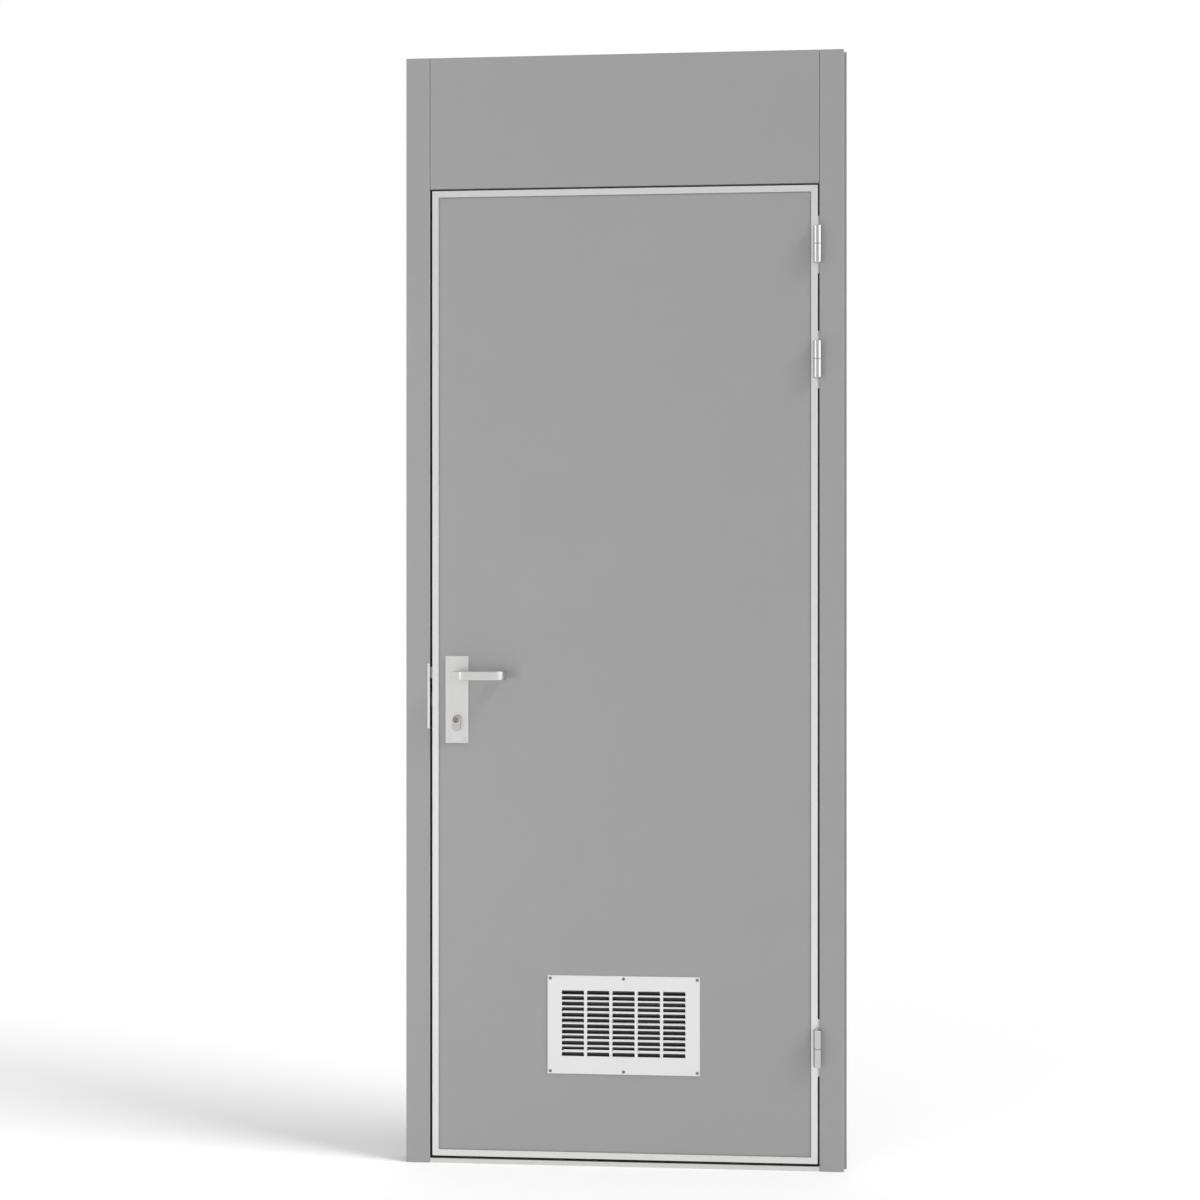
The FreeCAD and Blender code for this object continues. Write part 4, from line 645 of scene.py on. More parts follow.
def screw(head, shank, length):
    """A sunk screw of two radii and a length, with a cross recess in its head.

    The head's face is at z = 0, and the screw points down."""
    cone = HEAD_RIM + head - shank
    shape = spun([
        (0, 0), (head - HEAD_CHAMFER, 0), (head, -HEAD_CHAMFER_DEPTH), (head, -HEAD_RIM),
        (shank, -cone), (shank, -length + shank), (0, -length),
    ], SCREW_SEGMENTS)
    wide, narrow = head * CROSS_REACH, head * CROSS_HALF
    cross = [(wide, narrow), (narrow, narrow), (narrow, wide)]
    for _ in range(3):
        cross += [(-y, x) for x, y in cross[-3:]]
    recess = bmesh.new()
    prism(recess, cross, -head * CROSS_DEPTH, OVERCUT)
    turn_outward(recess)
    return mesh_of(combined(shape, recess), "screw")


TURNS = {"+x": (90, "Y"), "-x": (-90, "Y"), "+y": (-90, "X"), "-y": (90, "X")}
TURN_TO = {
    facing: Matrix.Rotation(math.radians(angle), 4, axis)
    for facing, (angle, axis) in TURNS.items()
}


def set_screws(name, facing, spots, size, material, body, slot, *nodes):
    """Sunk screws at the spots, their heads facing one way, each turned a little differently."""
    shape = bmesh.new()
    master = screw(*size)
    for number, spot in enumerate(spots):
        twist = Matrix.Rotation(math.radians(TWIST_STEP * number + TWIST_FIRST), 4, "Z")
        before = len(shape.verts)
        shape.from_mesh(master)
        shape.verts.ensure_lookup_table()
        bmesh.ops.transform(
            shape, matrix=Matrix.Translation(spot) @ TURN_TO[facing] @ twist,
            verts=shape.verts[before:],
        )
    piece(name, shape, material, body, slot, *nodes)


def drilled(shape, facing, spots, radius, depth, segments=40):
    """The shape with round holes sunk at the spots, seen from the way they face."""
    holes = bmesh.new()
    sunk = Matrix.Translation((0, 0, OVERCUT - depth / 2))
    for spot in spots:
        bmesh.ops.create_cone(
            holes, cap_ends=True, segments=segments, radius1=radius, radius2=radius,
            depth=depth + 2 * OVERCUT, matrix=Matrix.Translation(spot) @ TURN_TO[facing] @ sunk,
        )
    return combined(shape, holes)


latch, deadbolt = Extent("latch_bolt"), Extent("deadbolt")


def bolt_holes(near, far, play):
    """A cutter for the latch's and the deadbolt's hole, between two places along x."""
    shape = bmesh.new()
    for bolt in (latch, deadbolt):
        box(shape, (near, bolt.front - play, bolt.bottom - play),
            (far, bolt.rear + play, bolt.top + play))
    return shape


STRIKE_SCREW, STRIKE_PLAY = (3.8, 2, 11.8), 0.8
MIDDLE_Y = (deadbolt.front + deadbolt.rear) / 2
strike_spots = [
    (strike_at.right - SEAM, MIDDLE_Y, (strike_at.bottom + deadbolt.bottom) / 2),
    (strike_at.right - SEAM, MIDDLE_Y, (deadbolt.top + latch.bottom) / 2),
]
lip_back, plate_back = strike_at.front + SHEET, strike_at.right - SHEET
strike = bmesh.new()
face_of(strike, [(x, y, strike_at.bottom) for x, y in (
    (strike_at.left, strike_at.front), (strike_at.right, strike_at.front),
    (strike_at.right, strike_at.rear), (plate_back, strike_at.rear),
    (plate_back, lip_back), (strike_at.left, lip_back),
)])
pushed(strike, strike.faces[:], UP * (strike_at.top - strike_at.bottom))
lip_bend = [edge for edge in corners(strike) if runs_along(edge, 2)
            and middle(edge).x > strike_at.right - NEAR
            and middle(edge).y < strike_at.front + NEAR]
rounded(strike, lip_bend, 1.2, segments=4)
rounded(strike, corners(strike, 50), 0.2, segments=2)
strike = combined(strike, bolt_holes(
    strike_at.left, strike_at.right + OVERCUT, STRIKE_PLAY,
))
piece("strike_plate_bent", drilled(strike, "+x", strike_spots, radius=3.9, depth=4),
      fine_stainless, "frame", "stainless", "strike_plate")
set_screws("strike_screws_sunk", "+x", strike_spots, STRIKE_SCREW, zinc_plate, "frame",
           "zinc_steel", "strike_screws")
dress(zinc_plate, "strike_box", edge=0.4)

# Hinges: a stainless plate on the leaf's edge and one on the post, each with a knuckle of a
# drawn barrel with turned ends, on a fixed pin, held by sunk screws.

AXES = {
    joint["name"]: [round(value / MM, 2) for value in joint["pos_m"]]
    for joint in frame["joints"] if "pos_m" in joint
}
BARREL_X, BARREL_Y = AXES["leaf_hinge"][:2]
BARREL_RADIUS, BARREL_EDGE, BARREL_SEGMENTS = 8, 0.7, 56
RECESS_FLOOR, RECESS_RIM, RECESS_DEPTH = 4.6, 5, 0.3
HINGE_LEVELS = (254, 1664.5, 1900)
KNUCKLE_REACH, WASHER_HALF, WASHER_PLAY = 38, 0.5, 0.2
HINGE_PLATE, HINGE_PLATE_REACH, HINGE_CORNER, LEG_LAP = 1.6, 58.8, 3, 3
HINGE_SCREW, HINGE_SCREW_INSET, HINGE_SCREW_STEP = (4, 2.5, 7), 11.2, 40
drawn_stainless = ground("drawn_stainless_barrel", "#CBCBCA", roughness=0.2, grain=0.0008, along=2)
plate_rear = Extent("leaf_hinge_plates").rear


def knuckle(low, high):
    """A barrel between two heights, with a shallow recess turned in each end."""
    end = [
        (0, RECESS_DEPTH), (RECESS_FLOOR, RECESS_DEPTH), (RECESS_RIM, 0),
        (BARREL_RADIUS - BARREL_EDGE, 0), (BARREL_RADIUS, BARREL_EDGE),
    ]
    lower = [(radius, low + rise) for radius, rise in end]
    upper = [(radius, high - rise) for radius, rise in end[::-1]]
    shape = spun(lower + upper, BARREL_SEGMENTS)
    bmesh.ops.translate(shape, verts=shape.verts, vec=(BARREL_X, BARREL_Y, 0))
    return shape


def hinge_plate(near, far, level, low, high):
    """A plate in the gap with rounded rear corners, and the leg that runs to its knuckle."""
    plate = bmesh.new()
    box(plate, (near, FRONT, level - HINGE_PLATE_REACH),
        (far, plate_rear, level + HINGE_PLATE_REACH))
    rear_corners = [edge for edge in plate.edges if runs_along(edge, 0) and middle(edge).y > 0]
    rounded(plate, rear_corners, HINGE_CORNER, segments=5)
    leg = bmesh.new()
    box(leg, (near, BARREL_Y + OVERCUT, low), (far, FRONT + LEG_LAP, high))
    return combined(combined(plate, leg, "UNION"), knuckle(low, high), "UNION")


leaf_face = Extent("trim_hinge_side").right
leaf_span = (leaf_face, leaf_face + HINGE_PLATE)
post_span = (right_post.left - HINGE_PLATE, right_post.left)
leaf_plates, frame_plates = bmesh.new(), bmesh.new()
leaf_screw_spots, frame_screw_spots = [], []
for level in HINGE_LEVELS:
    spots = [
        (FRONT + HINGE_SCREW_INSET, level - HINGE_SCREW_STEP),
        (plate_rear - HINGE_SCREW_INSET, level + HINGE_SCREW_STEP),
    ]
    leaf_spots = [(leaf_span[1], *spot) for spot in spots]
    frame_spots = [(post_span[0], *spot) for spot in spots]
    upper = (level + WASHER_HALF + WASHER_PLAY, level + KNUCKLE_REACH)
    lower = (level - KNUCKLE_REACH, level - WASHER_HALF)
    halves = (
        (leaf_plates, hinge_plate(*leaf_span, level, *upper), "+x", leaf_spots),
        (frame_plates, hinge_plate(*post_span, level, *lower), "-x", frame_spots),
    )
    for together, half, facing, drill_spots in halves:
        half = drilled(half, facing, drill_spots, radius=4.05, depth=3)
        together.from_mesh(mesh_of(half, "half"))
    leaf_screw_spots += leaf_spots
    frame_screw_spots += frame_spots
piece("hinge_leaves_moving", leaf_plates, drawn_stainless, "leaf", "stainless",
      "leaf_hinge_plates", smooth=30)
piece("hinge_leaves_fixed", frame_plates, drawn_stainless, "frame", "stainless",
      "frame_hinge_plates", smooth=30)
set_screws("leaf_hinge_screws_sunk", "+x", leaf_screw_spots, HINGE_SCREW, fine_stainless,
           "leaf", "stainless", "leaf_hinge_screws")
set_screws("frame_hinge_screws_sunk", "-x", frame_screw_spots, HINGE_SCREW, fine_stainless,
           "frame", "stainless", "frame_hinge_screws")
dress(drawn_stainless, "hinge_washers")
dress(zinc_plate, "hinge_pins", "hinge_post_stiffener")

# Leaf: two steel skins in the same enamel, with painted shade in the corner along the
# trim. Stiffening bars and wool are inside.

# How far from the trim the painted shade reaches, and how dark it is at the trim's edge.
PAINTED_SHADE_REACH, PAINTED_SHADE_DEPTH = 5 * MM, 0.72
TRIM_INNER = (
    (Extent("trim_lock_side").right, Extent("trim_hinge_side").left),
    (Extent("trim_bottom").top, Extent("trim_top").bottom),
)


def enamel_in_trim():
    """The enamel with painted shade: a little darker within a few millimetres of the trim's inner
    edge.
    """
    material = mottled("stoved_enamel_on_leaf", **ENAMEL)
    tree = material.node_tree
    surface = tree.nodes["Principled BSDF"].inputs
    coat = surface["Base Color"].links[0].from_socket
    place = add(tree, "ShaderNodeTexCoord").outputs["Object"]
    axes = add(tree, "ShaderNodeSeparateXYZ", {"Vector": place})
    nearest = None
    for axis, (low, high) in zip("XZ", TRIM_INNER):
        centre, half = (low + high) / 2 * MM, (high - low) / 2 * MM
        offset = calculated(tree, "SUBTRACT", axes.outputs[axis], centre)
        gap = calculated(tree, "SUBTRACT", half, calculated(tree, "ABSOLUTE", offset))
        nearest = gap if nearest is None else calculated(tree, "MINIMUM", nearest, gap)
    # Painted shade: the coat is darkened towards the trim's inner edge, where shade falls in the
    # corner.
    painted_shade = ranged(tree, nearest, 0, PAINTED_SHADE_REACH, PAINTED_SHADE_DEPTH, 1, "SMOOTHSTEP")
    shaded_coat = add(tree, "ShaderNodeVectorMath", {0: coat, "Scale": painted_shade}, operation="SCALE")
    tree.links.new(shaded_coat.outputs[0], surface["Base Color"])
    return material


dress(enamel_in_trim(), "leaf_front_skin", "leaf_back_skin")
dress(zinc_plate, "lock_side_stiffener", "hinge_side_stiffener")

# Edge trims: 1 mm stainless channels round the leaf, 13.4 mm flanges, mitred at the corners,
# with a dull blasted finish that speckles.

blasted_stainless = ground("blasted_stainless_trim", "#EAEAE9", roughness=0.38, grain=0.0016,
                           along=None, contrast=0.1)
TRIM_SHEET, MITRE_GAP, TRIM_BEND, TRIM_HEM = 1, 0.1, 0.8, 0.25
LEAF_LEFT, LEAF_FRONT, LEAF_BOTTOM = Extent("trim_lock_side").low
LEAF_RIGHT, LEAF_REAR, LEAF_TOP = Extent("trim_hinge_side").high
FLANGE = TRIM_INNER[0][0] - LEAF_LEFT
CHANNEL = [
    (0, LEAF_FRONT), (FLANGE, LEAF_FRONT), (FLANGE, LEAF_FRONT + TRIM_SHEET),
    (TRIM_SHEET, LEAF_FRONT + TRIM_SHEET), (TRIM_SHEET, LEAF_REAR - TRIM_SHEET),
    (FLANGE, LEAF_REAR - TRIM_SHEET), (FLANGE, LEAF_REAR), (0, LEAF_REAR),
]


def channel(place, inward, start, end, along):
    """A mitred channel on one edge of the leaf, which runs along x or z from start to end.

    The edge is at a place on the other one of these axes, and inward is 1 or -1 on it."""
    shape = bmesh.new()
    across = 2 - along
    outline = []
    for depth, y in CHANNEL:
        point = [0, y, 0]
        point[across] = place + inward * depth
        point[along] = start + depth + MITRE_GAP
        outline.append(point)
    far = pushed(shape, [face_of(shape, outline)], Vector((0, 0, 0)))
    for vert in {vert for face in far for vert in face.verts}:
        depth = abs(vert.co[across] - place)
        vert.co[along] = end - depth - MITRE_GAP
    turn_outward(shape)
    for depth, radius, segments in ((0, TRIM_BEND, 4), (FLANGE, TRIM_HEM, 2)):
        edges = [edge for edge in corners(shape, 60) if runs_along(edge, along)
                 and abs(abs(middle(edge)[across] - place) - depth) < NEAR]
        rounded(shape, edges, radius, segments)
    return shape


lock_face = Extent("lock_faceplate")
faceplate_opening = bmesh.new()
box(faceplate_opening, (LEAF_LEFT - OVERCUT, lock_face.front, lock_face.bottom),
    (LEAF_LEFT + TRIM_SHEET + OVERCUT, lock_face.rear, lock_face.top))
lock_trim = combined(channel(LEAF_LEFT, 1, LEAF_BOTTOM, LEAF_TOP, 2), faceplate_opening)
hinge_trim = channel(LEAF_RIGHT, -1, LEAF_BOTTOM, LEAF_TOP, 2)
TRIMS = {
    "lock_side": lock_trim,
    "hinge_side": drilled(hinge_trim, "+x", leaf_screw_spots, radius=2.7, depth=4),
    "top": channel(LEAF_TOP, -1, LEAF_LEFT, LEAF_RIGHT, 0),
    "bottom": channel(LEAF_BOTTOM, 1, LEAF_LEFT, LEAF_RIGHT, 0),
}
for side, trim in TRIMS.items():
    piece(f"trim_{side}_channel", trim, blasted_stainless, "leaf", "stainless", f"trim_{side}")

# Ventilation: a zinc-plated sleeve through the leaf, with a block of slats between the
# grilles that swells shut in a fire.

dress(zinc_plate, "vent_sleeve")
dress(graphite_strip, "vent_damper", edge=0.4)

# Grilles: 2 mm steel plates in a pale enamel, punched with twelve rows of five slots. Behind
# each slot a curved louvre hangs from its top, coloured near black as painted shade for the
# dark inside of the slot, and six sunk screws hold each plate.

# Painted shade: the louvres are coloured near black to stand for the shade inside the slots.
louvre_painted_shade = mottled("louvre_sheet_dark_as_painted_shade", "#4A4A49", "#424241", peel=0.003,
                        roughness=0.6)
dark_zinc = ground("dull_zinc_screw", "#8E9092", roughness=0.45, grain=0.002, along=2)
pale_enamel = mottled("pale_enamel", "#DCDCDC", "#D9D9D9", peel=0.004, roughness=0.42)
SIDES = (
    ("front", Extent("leaf_front_skin").front, "-y", -1),
    ("rear", Extent("leaf_back_skin").rear, "+y", 1),
)
grille = Extent("front_grille")
MIDDLE_X = (grille.left + grille.right) / 2
GRILLE_HALF = (grille.right - grille.left) / 2
GRILLE_THICK, GRILLE_EDGE = 2, 0.35
SLOT_HALF, SLOT_TALL, SLOT_SLANT = 23.4, 8.4, 0.8
COLUMNS, COLUMN_PITCH, ROWS, ROW_PITCH = 5, 52.4, 12, 11.6
SLOTS_RISE = 3
slots_middle = (grille.bottom + grille.top) / 2 + SLOTS_RISE
SLOT_COLUMNS = [MIDDLE_X + COLUMN_PITCH * (n - (COLUMNS - 1) / 2) for n in range(COLUMNS)]
SLOT_ROWS = [slots_middle + ROW_PITCH * (n - (ROWS - 1) / 2) for n in range(ROWS)]
LOUVRE_DEPTH, LOUVRE_THICK, LOUVRE_HEM = 4.5, 1.0, 0.6
LOUVRE_START, LOUVRE_RISE, LOUVRE_PLAY = 0.4, 0.1, 0.05
GRILLE_SCREW, GRILLE_SCREW_INSET, HEAD_SUNK = (3.3, 1.8, 4.5), 5.5, 0.5


def grille_blank():
    """A grille's plate at y = 0 with its front towards -y, without screw holes."""
    plate = bmesh.new()
    upright_face(plate, grille, 0)
    cut_lines(plate, [x + side * SLOT_HALF for x in SLOT_COLUMNS for side in (-1, 1)], 0)
    cut_lines(plate, [z + side * SLOT_TALL / 2 for z in SLOT_ROWS for side in (-1, 1)], 2)
    slots = []
    for face in plate.faces:
        centre = face.calc_center_median()
        if (min(abs(centre.x - x) for x in SLOT_COLUMNS) < 1
                and min(abs(centre.z - z) for z in SLOT_ROWS) < 1):
            slots.append(face)
    bmesh.ops.delete(plate, geom=slots, context="FACES")
    for vert in plate.verts:
        x = min(SLOT_COLUMNS, key=lambda column: abs(column - vert.co.x))
        z = min(SLOT_ROWS, key=lambda row: abs(row + SLOT_TALL / 2 - vert.co.z))
        at_side = abs(abs(vert.co.x - x) - SLOT_HALF) < NEAR
        if at_side and abs(vert.co.z - z - SLOT_TALL / 2) < NEAR:
            vert.co.x -= math.copysign(SLOT_SLANT, vert.co.x - x)
    pushed(plate, plate.faces[:], (0, -GRILLE_THICK, 0))
    turn_outward(plate)
    rims = [edge for edge in corners(plate, 60) if abs(middle(edge).y + GRILLE_THICK) < NEAR
            and (abs(middle(edge).x - MIDDLE_X) > GRILLE_HALF - NEAR
                 or not grille.bottom + NEAR < middle(edge).z < grille.top - NEAR)]
    rounded(plate, rims, GRILLE_EDGE, segments=2)
    return plate


def louvres():
    """The louvres: curved hoods that run back and down from the top of each slot."""
    shape = bmesh.new()
    start_y = LOUVRE_START - GRILLE_THICK
    reach = LOUVRE_DEPTH - start_y
    hem = LOUVRE_THICK * LOUVRE_HEM
    steps = [math.radians(angle) for angle in range(0, 91, 18)]
    half = SLOT_HALF - SLOT_SLANT - LOUVRE_PLAY
    for z in SLOT_ROWS:
        top = z + SLOT_TALL / 2
        outside = [
            (start_y + reach * math.sin(a), top + LOUVRE_RISE - LOUVRE_DEPTH * (1 - math.cos(a)))
            for a in steps
        ]
        inside_curve = [
            (start_y + (reach - LOUVRE_THICK) * math.sin(a),
             top - hem - (LOUVRE_DEPTH - hem) * (1 - math.cos(a)))
            for a in steps
        ]
        for x in SLOT_COLUMNS:
            start = face_of(shape, [
                (x - half, y, height) for y, height in outside + inside_curve[::-1]
            ])
            pushed(shape, [start], (2 * half, 0, 0))
    turn_outward(shape)
    return shape


GRILLE_SCREWS = [
    (x, z)
    for x in (grille.left + GRILLE_SCREW_INSET, MIDDLE_X, grille.right - GRILLE_SCREW_INSET)
    for z in (grille.bottom + GRILLE_SCREW_INSET, grille.top - GRILLE_SCREW_INSET)
]
for side, face, facing, out in SIDES:
    spots = [(x, -GRILLE_THICK, z) for x, z in GRILLE_SCREWS]
    punched = drilled(grille_blank(), "-y", spots, radius=3.5, depth=3)
    blades = louvres()
    for shape in (punched, blades):
        bmesh.ops.scale(shape, vec=(1, -out, 1), verts=shape.verts)
        bmesh.ops.translate(shape, verts=shape.verts, vec=(0, face, 0))
    piece(f"{side}_grille_punched", punched, pale_enamel, "leaf", "grille_paint",
          f"{side}_grille")
    piece(f"{side}_grille_louvres", blades, louvre_painted_shade, "leaf", "grille_paint",
          f"{side}_grille", smooth=50)
    head = face + out * (GRILLE_THICK - HEAD_SUNK)
    set_screws(f"{side}_grille_screws_sunk", facing, [(x, head, z) for x, z in GRILLE_SCREWS],
               GRILLE_SCREW, dark_zinc, "leaf", "zinc_steel", f"{side}_grille_screws")

# Lock: a zinc-plated case and cover with follower, spring and square spindle, behind a
# stainless faceplate in the leaf's edge. Latch and deadbolt are nickel-plated, their colour
# darkened as painted shade for the shaded gap they sit in.

FACEPLATE_SCREW, FACEPLATE_SCREW_INSET = (3.8, 2, 6.5), 9
FACEPLATE_EDGE, BOLT_PLAY = 0.4, 0.15
dress(zinc_plate, "lock_case", "lock_cover", "spindle", "cylinder_cam", "lever_grub_screws",
      "cylinder_screw")
dress(zinc_plate, "lock_follower", edge=0.3)
spring_steel = ground("blued_spring_steel", "#8F949C", roughness=0.32, grain=0.002, along=0)
dress(spring_steel, "latch_spring")
faceplate_spots = [
    (lock_face.left - SEAM / 2, MIDDLE_Y, z)
    for z in (lock_face.bottom + FACEPLATE_SCREW_INSET, lock_face.top - FACEPLATE_SCREW_INSET)
]
faceplate = bmesh.new()
box(faceplate, lock_face.low, lock_face.high)
face_edges = [edge for edge in corners(faceplate) if middle(edge).x < lock_face.left + NEAR]
rounded(faceplate, face_edges, FACEPLATE_EDGE)
faceplate = combined(faceplate, bolt_holes(
    lock_face.left - OVERCUT, lock_face.right + OVERCUT, BOLT_PLAY,
))
faceplate = drilled(faceplate, "-x", faceplate_spots, radius=3.9, depth=4)
long_screw = Extent("cylinder_screw")
long_screw_spot = (lock_face.left, MIDDLE_Y, (long_screw.bottom + long_screw.top) / 2)
piece("lock_faceplate_ground", drilled(faceplate, "-x", [long_screw_spot], radius=4.7, depth=4),
      fine_stainless, "leaf", "stainless", "lock_faceplate")
set_screws("faceplate_screws_sunk", "-x", faceplate_spots, FACEPLATE_SCREW, zinc_plate, "leaf",
           "zinc_steel", "faceplate_screws")
# Painted shade: this nickel is darker than the plating itself, standing for the shade in the gap
# where the bolts sit.
nickel_darkened_as_shade = ground("satin_nickel_with_painted_shade", "#A6A5A2", roughness=0.3, grain=0.001, along=1)
dress(nickel_darkened_as_shade, "latch_bolt", "deadbolt", edge=0.4)

# Backplates: 3 mm stainless plates, 48 by 181 mm, ground lengthways with bevelled edges and
# a sunk screw in each corner, behind the levers.

LEVER_X, LEVER_Z = AXES["lever_turn"][::2]
CYLINDER_Z = AXES["key_turn"][2]
PLATE_THICK, PLATE_EDGE = 3, 0.8
PLATE_SCREW, PLATE_SCREW_INSET = (3.6, 1.8, 4), 7
NECK_RADIUS, NECK_PLAY = 7.5, 0.1
CYLINDER_PLAY, OVAL_STEPS = 0.2, 16
plate_stainless = ground("lengthways_ground_plate", "#DCDCDB", roughness=0.34, grain=0.0007,
                         along=2, contrast=0.05)
cylinder = Extent("cylinder_body")


def arc(centre, radius, start, end, steps):
    """Points on an arc between two angles in degrees."""
    points = []
    for step in range(steps + 1):
        angle = math.radians(start + (end - start) * step / steps)
        points.append((centre[0] + radius * math.cos(angle), centre[1] + radius * math.sin(angle)))
    return points


def oval(play=0.0):
    """The cylinder's outline as (x, z): two half circles joined by straight sides."""
    radius = (cylinder.right - cylinder.left) / 2
    high, low = (LEVER_X, cylinder.top - radius), (LEVER_X, cylinder.bottom + radius)
    return (arc(high, radius + play, 0, 180, OVAL_STEPS)
            + arc(low, radius + play, 180, 360, OVAL_STEPS))


def bar_along_y(shape, outline, low, high):
    """Adds a bar of an outline in x and z between two places along y."""
    start = face_of(shape, [(x, low, z) for x, z in outline])
    pushed(shape, [start], (0, high - low, 0))
    turn_outward(shape)


for side, face, facing, out in SIDES:
    backplate = Extent(f"{side}_backplate")
    outer = face + out * PLATE_THICK
    plate = bmesh.new()
    box(plate, backplate.low, backplate.high)
    outer_edges = [edge for edge in plate.edges if abs(middle(edge).y - outer) < NEAR]
    rounded(plate, outer_edges, PLATE_EDGE)
    plate = drilled(plate, facing, [(LEVER_X, outer, LEVER_Z)], NECK_RADIUS + NECK_PLAY,
                    PLATE_THICK + OVERCUT)
    opening = bmesh.new()
    bar_along_y(opening, oval(CYLINDER_PLAY), face - PLATE_THICK - OVERCUT,
                face + PLATE_THICK + OVERCUT)
    plate = combined(plate, opening)
    spots = [
        (x, outer, z)
        for x in (backplate.left + PLATE_SCREW_INSET, backplate.right - PLATE_SCREW_INSET)
        for z in (backplate.bottom + PLATE_SCREW_INSET, backplate.top - PLATE_SCREW_INSET)
    ]
    piece(f"{side}_backplate_ground", drilled(plate, facing, spots, radius=3.65, depth=3.5),
          plate_stainless, "leaf", "stainless", f"{side}_backplate")
    set_screws(f"{side}_plate_screws_sunk", facing, spots, PLATE_SCREW, plate_stainless, "leaf",
               "stainless", f"{side}_plate_screws")

# Levers: flat bars 18 by 9 mm, bent back to the door at the free end, with a slightly thicker
# boss over a round neck. Ground stainless with softened edges.

lever = Extent("front_lever")
GRIP_THICK, GRIP_HALF, END_GAP, END_RADIUS = 9, 9, 9, 3
BOSS_RISE, BOSS_REACH, BOSS_SLOPE, BOSS_CORNER = 3, 12, 4, 5
BEND_OUTER, LEVER_EDGE = 23.5, 1.1
NECK_LENGTH, COLLAR_FOOT, COLLAR_TOP, COLLAR_RADIUS = 38, 40.2, 43, 8.4
GRIP_FRONT = lever.front + BOSS_RISE
GRIP_END = Extent("leaf_front_skin").front - END_GAP
lever_stainless = ground("ground_stainless_lever", "#D5D5D4", roughness=0.22, grain=0.0007,
                         along=0, contrast=0.04)


def lever_blank():
    """The front lever, grip and neck."""
    boss_side = LEVER_X - NECK_RADIUS
    boss_end = LEVER_X + BOSS_REACH
    bend = (lever.right - BEND_OUTER, GRIP_FRONT + BEND_OUTER)
    tip = GRIP_END - END_RADIUS
    outline = [
        (boss_side, lever.front), (boss_end, lever.front), (boss_end + BOSS_SLOPE, GRIP_FRONT),
        *arc(bend, BEND_OUTER, -90, 0, 14),
        *arc((lever.right - END_RADIUS, tip), END_RADIUS, 0, 90, 4),
        *arc((lever.right - GRIP_THICK + END_RADIUS, tip), END_RADIUS, 90, 180, 4),
        *arc(bend, BEND_OUTER - GRIP_THICK, 0, -90, 10),
        (boss_side, GRIP_FRONT + GRIP_THICK),
    ]
    shape = bmesh.new()
    prism(shape, outline, LEVER_Z - GRIP_HALF, LEVER_Z + GRIP_HALF)
    turn_outward(shape)
    free_corners = [edge for edge in shape.edges if runs_along(edge, 1)
                    and abs(middle(edge).x - boss_side) < NEAR]
    rounded(shape, free_corners, BOSS_CORNER, segments=6)
    rims = [edge for edge in corners(shape, 50) if middle(edge).x < boss_side + BOSS_CORNER
            or abs(abs(middle(edge).z - LEVER_Z) - GRIP_HALF) < NEAR]
    rounded(shape, rims, LEVER_EDGE)
    neck = spun([
        (0, 0), (NECK_RADIUS, 0), (NECK_RADIUS, NECK_LENGTH), (COLLAR_RADIUS, COLLAR_FOOT),
        (COLLAR_RADIUS, COLLAR_TOP), (0, COLLAR_TOP),
    ], 48)
    bmesh.ops.transform(
        neck, verts=neck.verts,
        matrix=Matrix.Translation((LEVER_X, lever.rear, LEVER_Z)) @ TURN_TO["-y"],
    )
    return combined(shape, neck, "UNION")


for side in ("front", "rear"):
    shape = lever_blank()
    if side == "rear":
        bmesh.ops.scale(shape, vec=(1, -1, 1), verts=shape.verts)
        bmesh.ops.translate(shape, verts=shape.verts, vec=(0, 2 * MIDDLE_Y, 0))
    piece(f"{side}_lever_bent", shape, lever_stainless, "handles", "stainless", f"{side}_lever",
          smooth=35)

# Cylinder: an oval nickel-plated body that stands 14 mm in front of each backplate, with a
# dulled brass plug and keyway in front and a thumb turn on the inside.

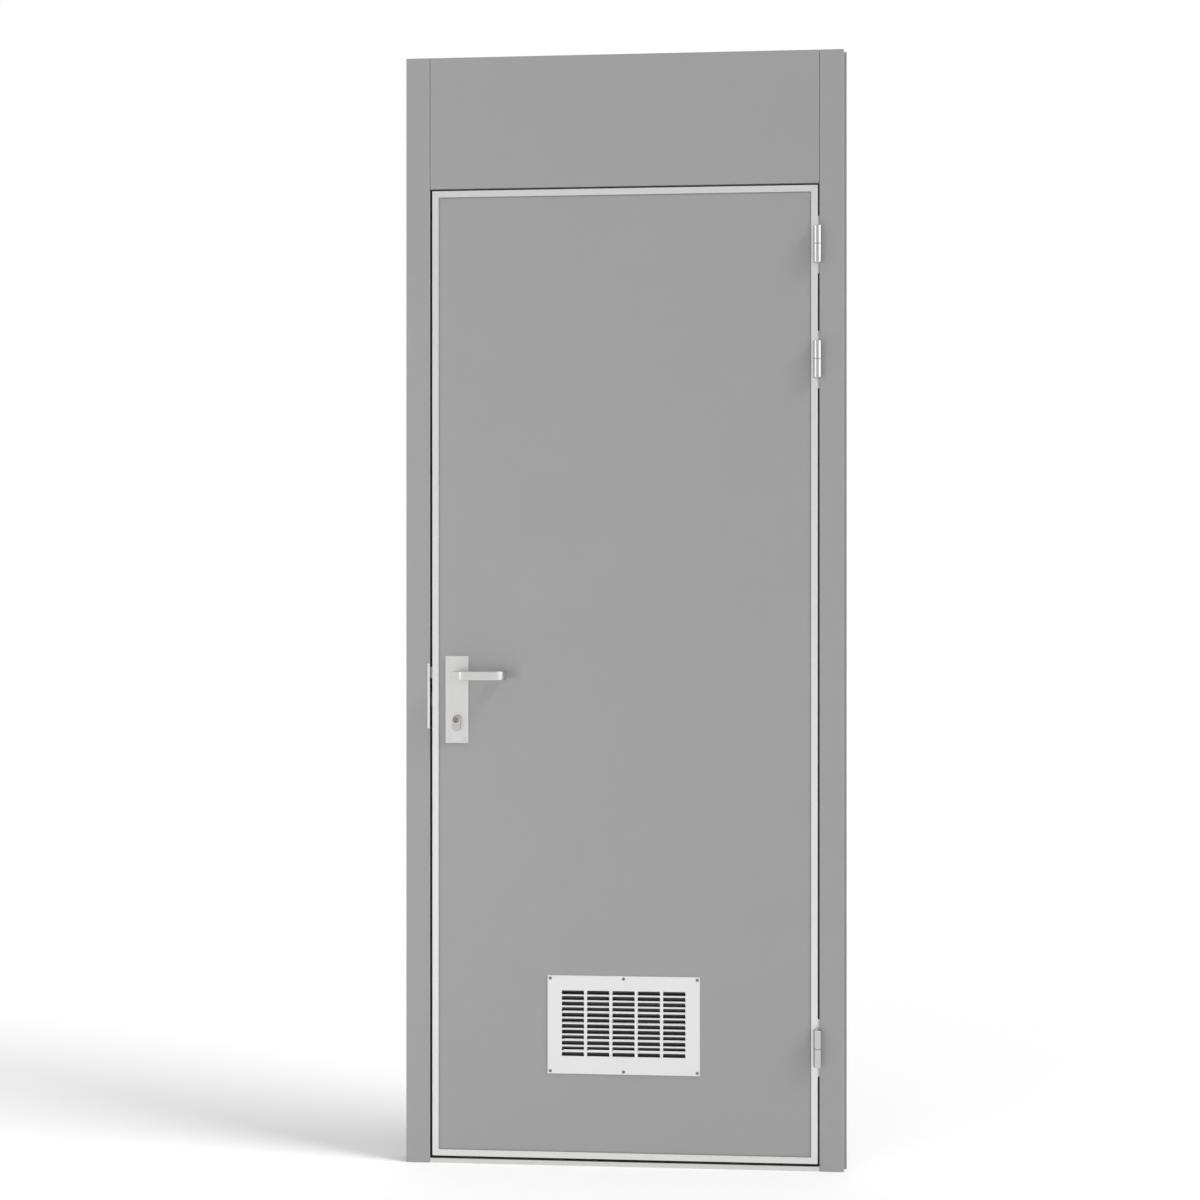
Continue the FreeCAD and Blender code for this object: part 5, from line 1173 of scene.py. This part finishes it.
PLUG_RADIUS, PLUG_FACE, PLUG_CHAMFER, PLUG_PLAY = 6.5, 5.5, 0.8, 0.05
CYLINDER_EDGE, CAM_PLAY, BRIDGE = 0.7, 0.2, 7.5
KEYWAY_DEPTH = 24
KEYWAY = [
    (-0.9, 2.4), (-0.9, -0.4), (-0.2, -1.1), (-0.2, -2.6), (-0.9, -3.3), (-0.9, -5.6),
    (0.7, -5.6), (0.7, -3.3), (1.2, -2.6), (1.2, -1.1), (0.7, -0.4), (0.7, 2.4),
]
cam, plug_at = Extent("cylinder_cam"), Extent("key_plug")
cylinder_nickel = ground("dull_nickel_cylinder", "#C6C4C1", roughness=0.16, grain=0.0008,
                         along=1)
dulled_brass = ground("turned_dull_brass", "#A6958B", roughness=0.42, grain=0.0012, along=1)
cylinder_shape = bmesh.new()
bar_along_y(cylinder_shape, oval(), cylinder.front, cylinder.rear)
rounded(cylinder_shape, corners(cylinder_shape, 60), CYLINDER_EDGE)
cylinder_shape = drilled(
    cylinder_shape, "-y", [(LEVER_X, cylinder.front, CYLINDER_Z)], PLUG_RADIUS + PLUG_PLAY,
    cylinder.rear - cylinder.front + OVERCUT, segments=48,
)
cam_gap = bmesh.new()
box(cam_gap, (cylinder.left - OVERCUT, cam.front - CAM_PLAY, cylinder.bottom + BRIDGE),
    (cylinder.right + OVERCUT, cam.rear + CAM_PLAY, cylinder.top + OVERCUT))
piece("cylinder_body_plated", combined(cylinder_shape, cam_gap), cylinder_nickel, "leaf",
      "stainless", "cylinder_body", smooth=30)
plug_foot = plug_at.front - plug_at.rear
plug = spun([
    (0, 0), (PLUG_FACE, 0), (PLUG_RADIUS, -PLUG_CHAMFER), (PLUG_RADIUS, plug_foot),
    (0, plug_foot),
], 48)
bmesh.ops.transform(
    plug, verts=plug.verts,
    matrix=Matrix.Translation((LEVER_X, cylinder.front, CYLINDER_Z)) @ TURN_TO["-y"],
)
keyway = bmesh.new()
bar_along_y(keyway, [(LEVER_X + x, CYLINDER_Z + z) for x, z in KEYWAY],
            cylinder.front - OVERCUT, cylinder.front + KEYWAY_DEPTH)
piece("key_plug_turned", combined(plug, keyway), dulled_brass, "key_cylinder", "brass",
      "key_plug", smooth=30)
dress(cylinder_nickel, "thumb_turn", edge=0.5)
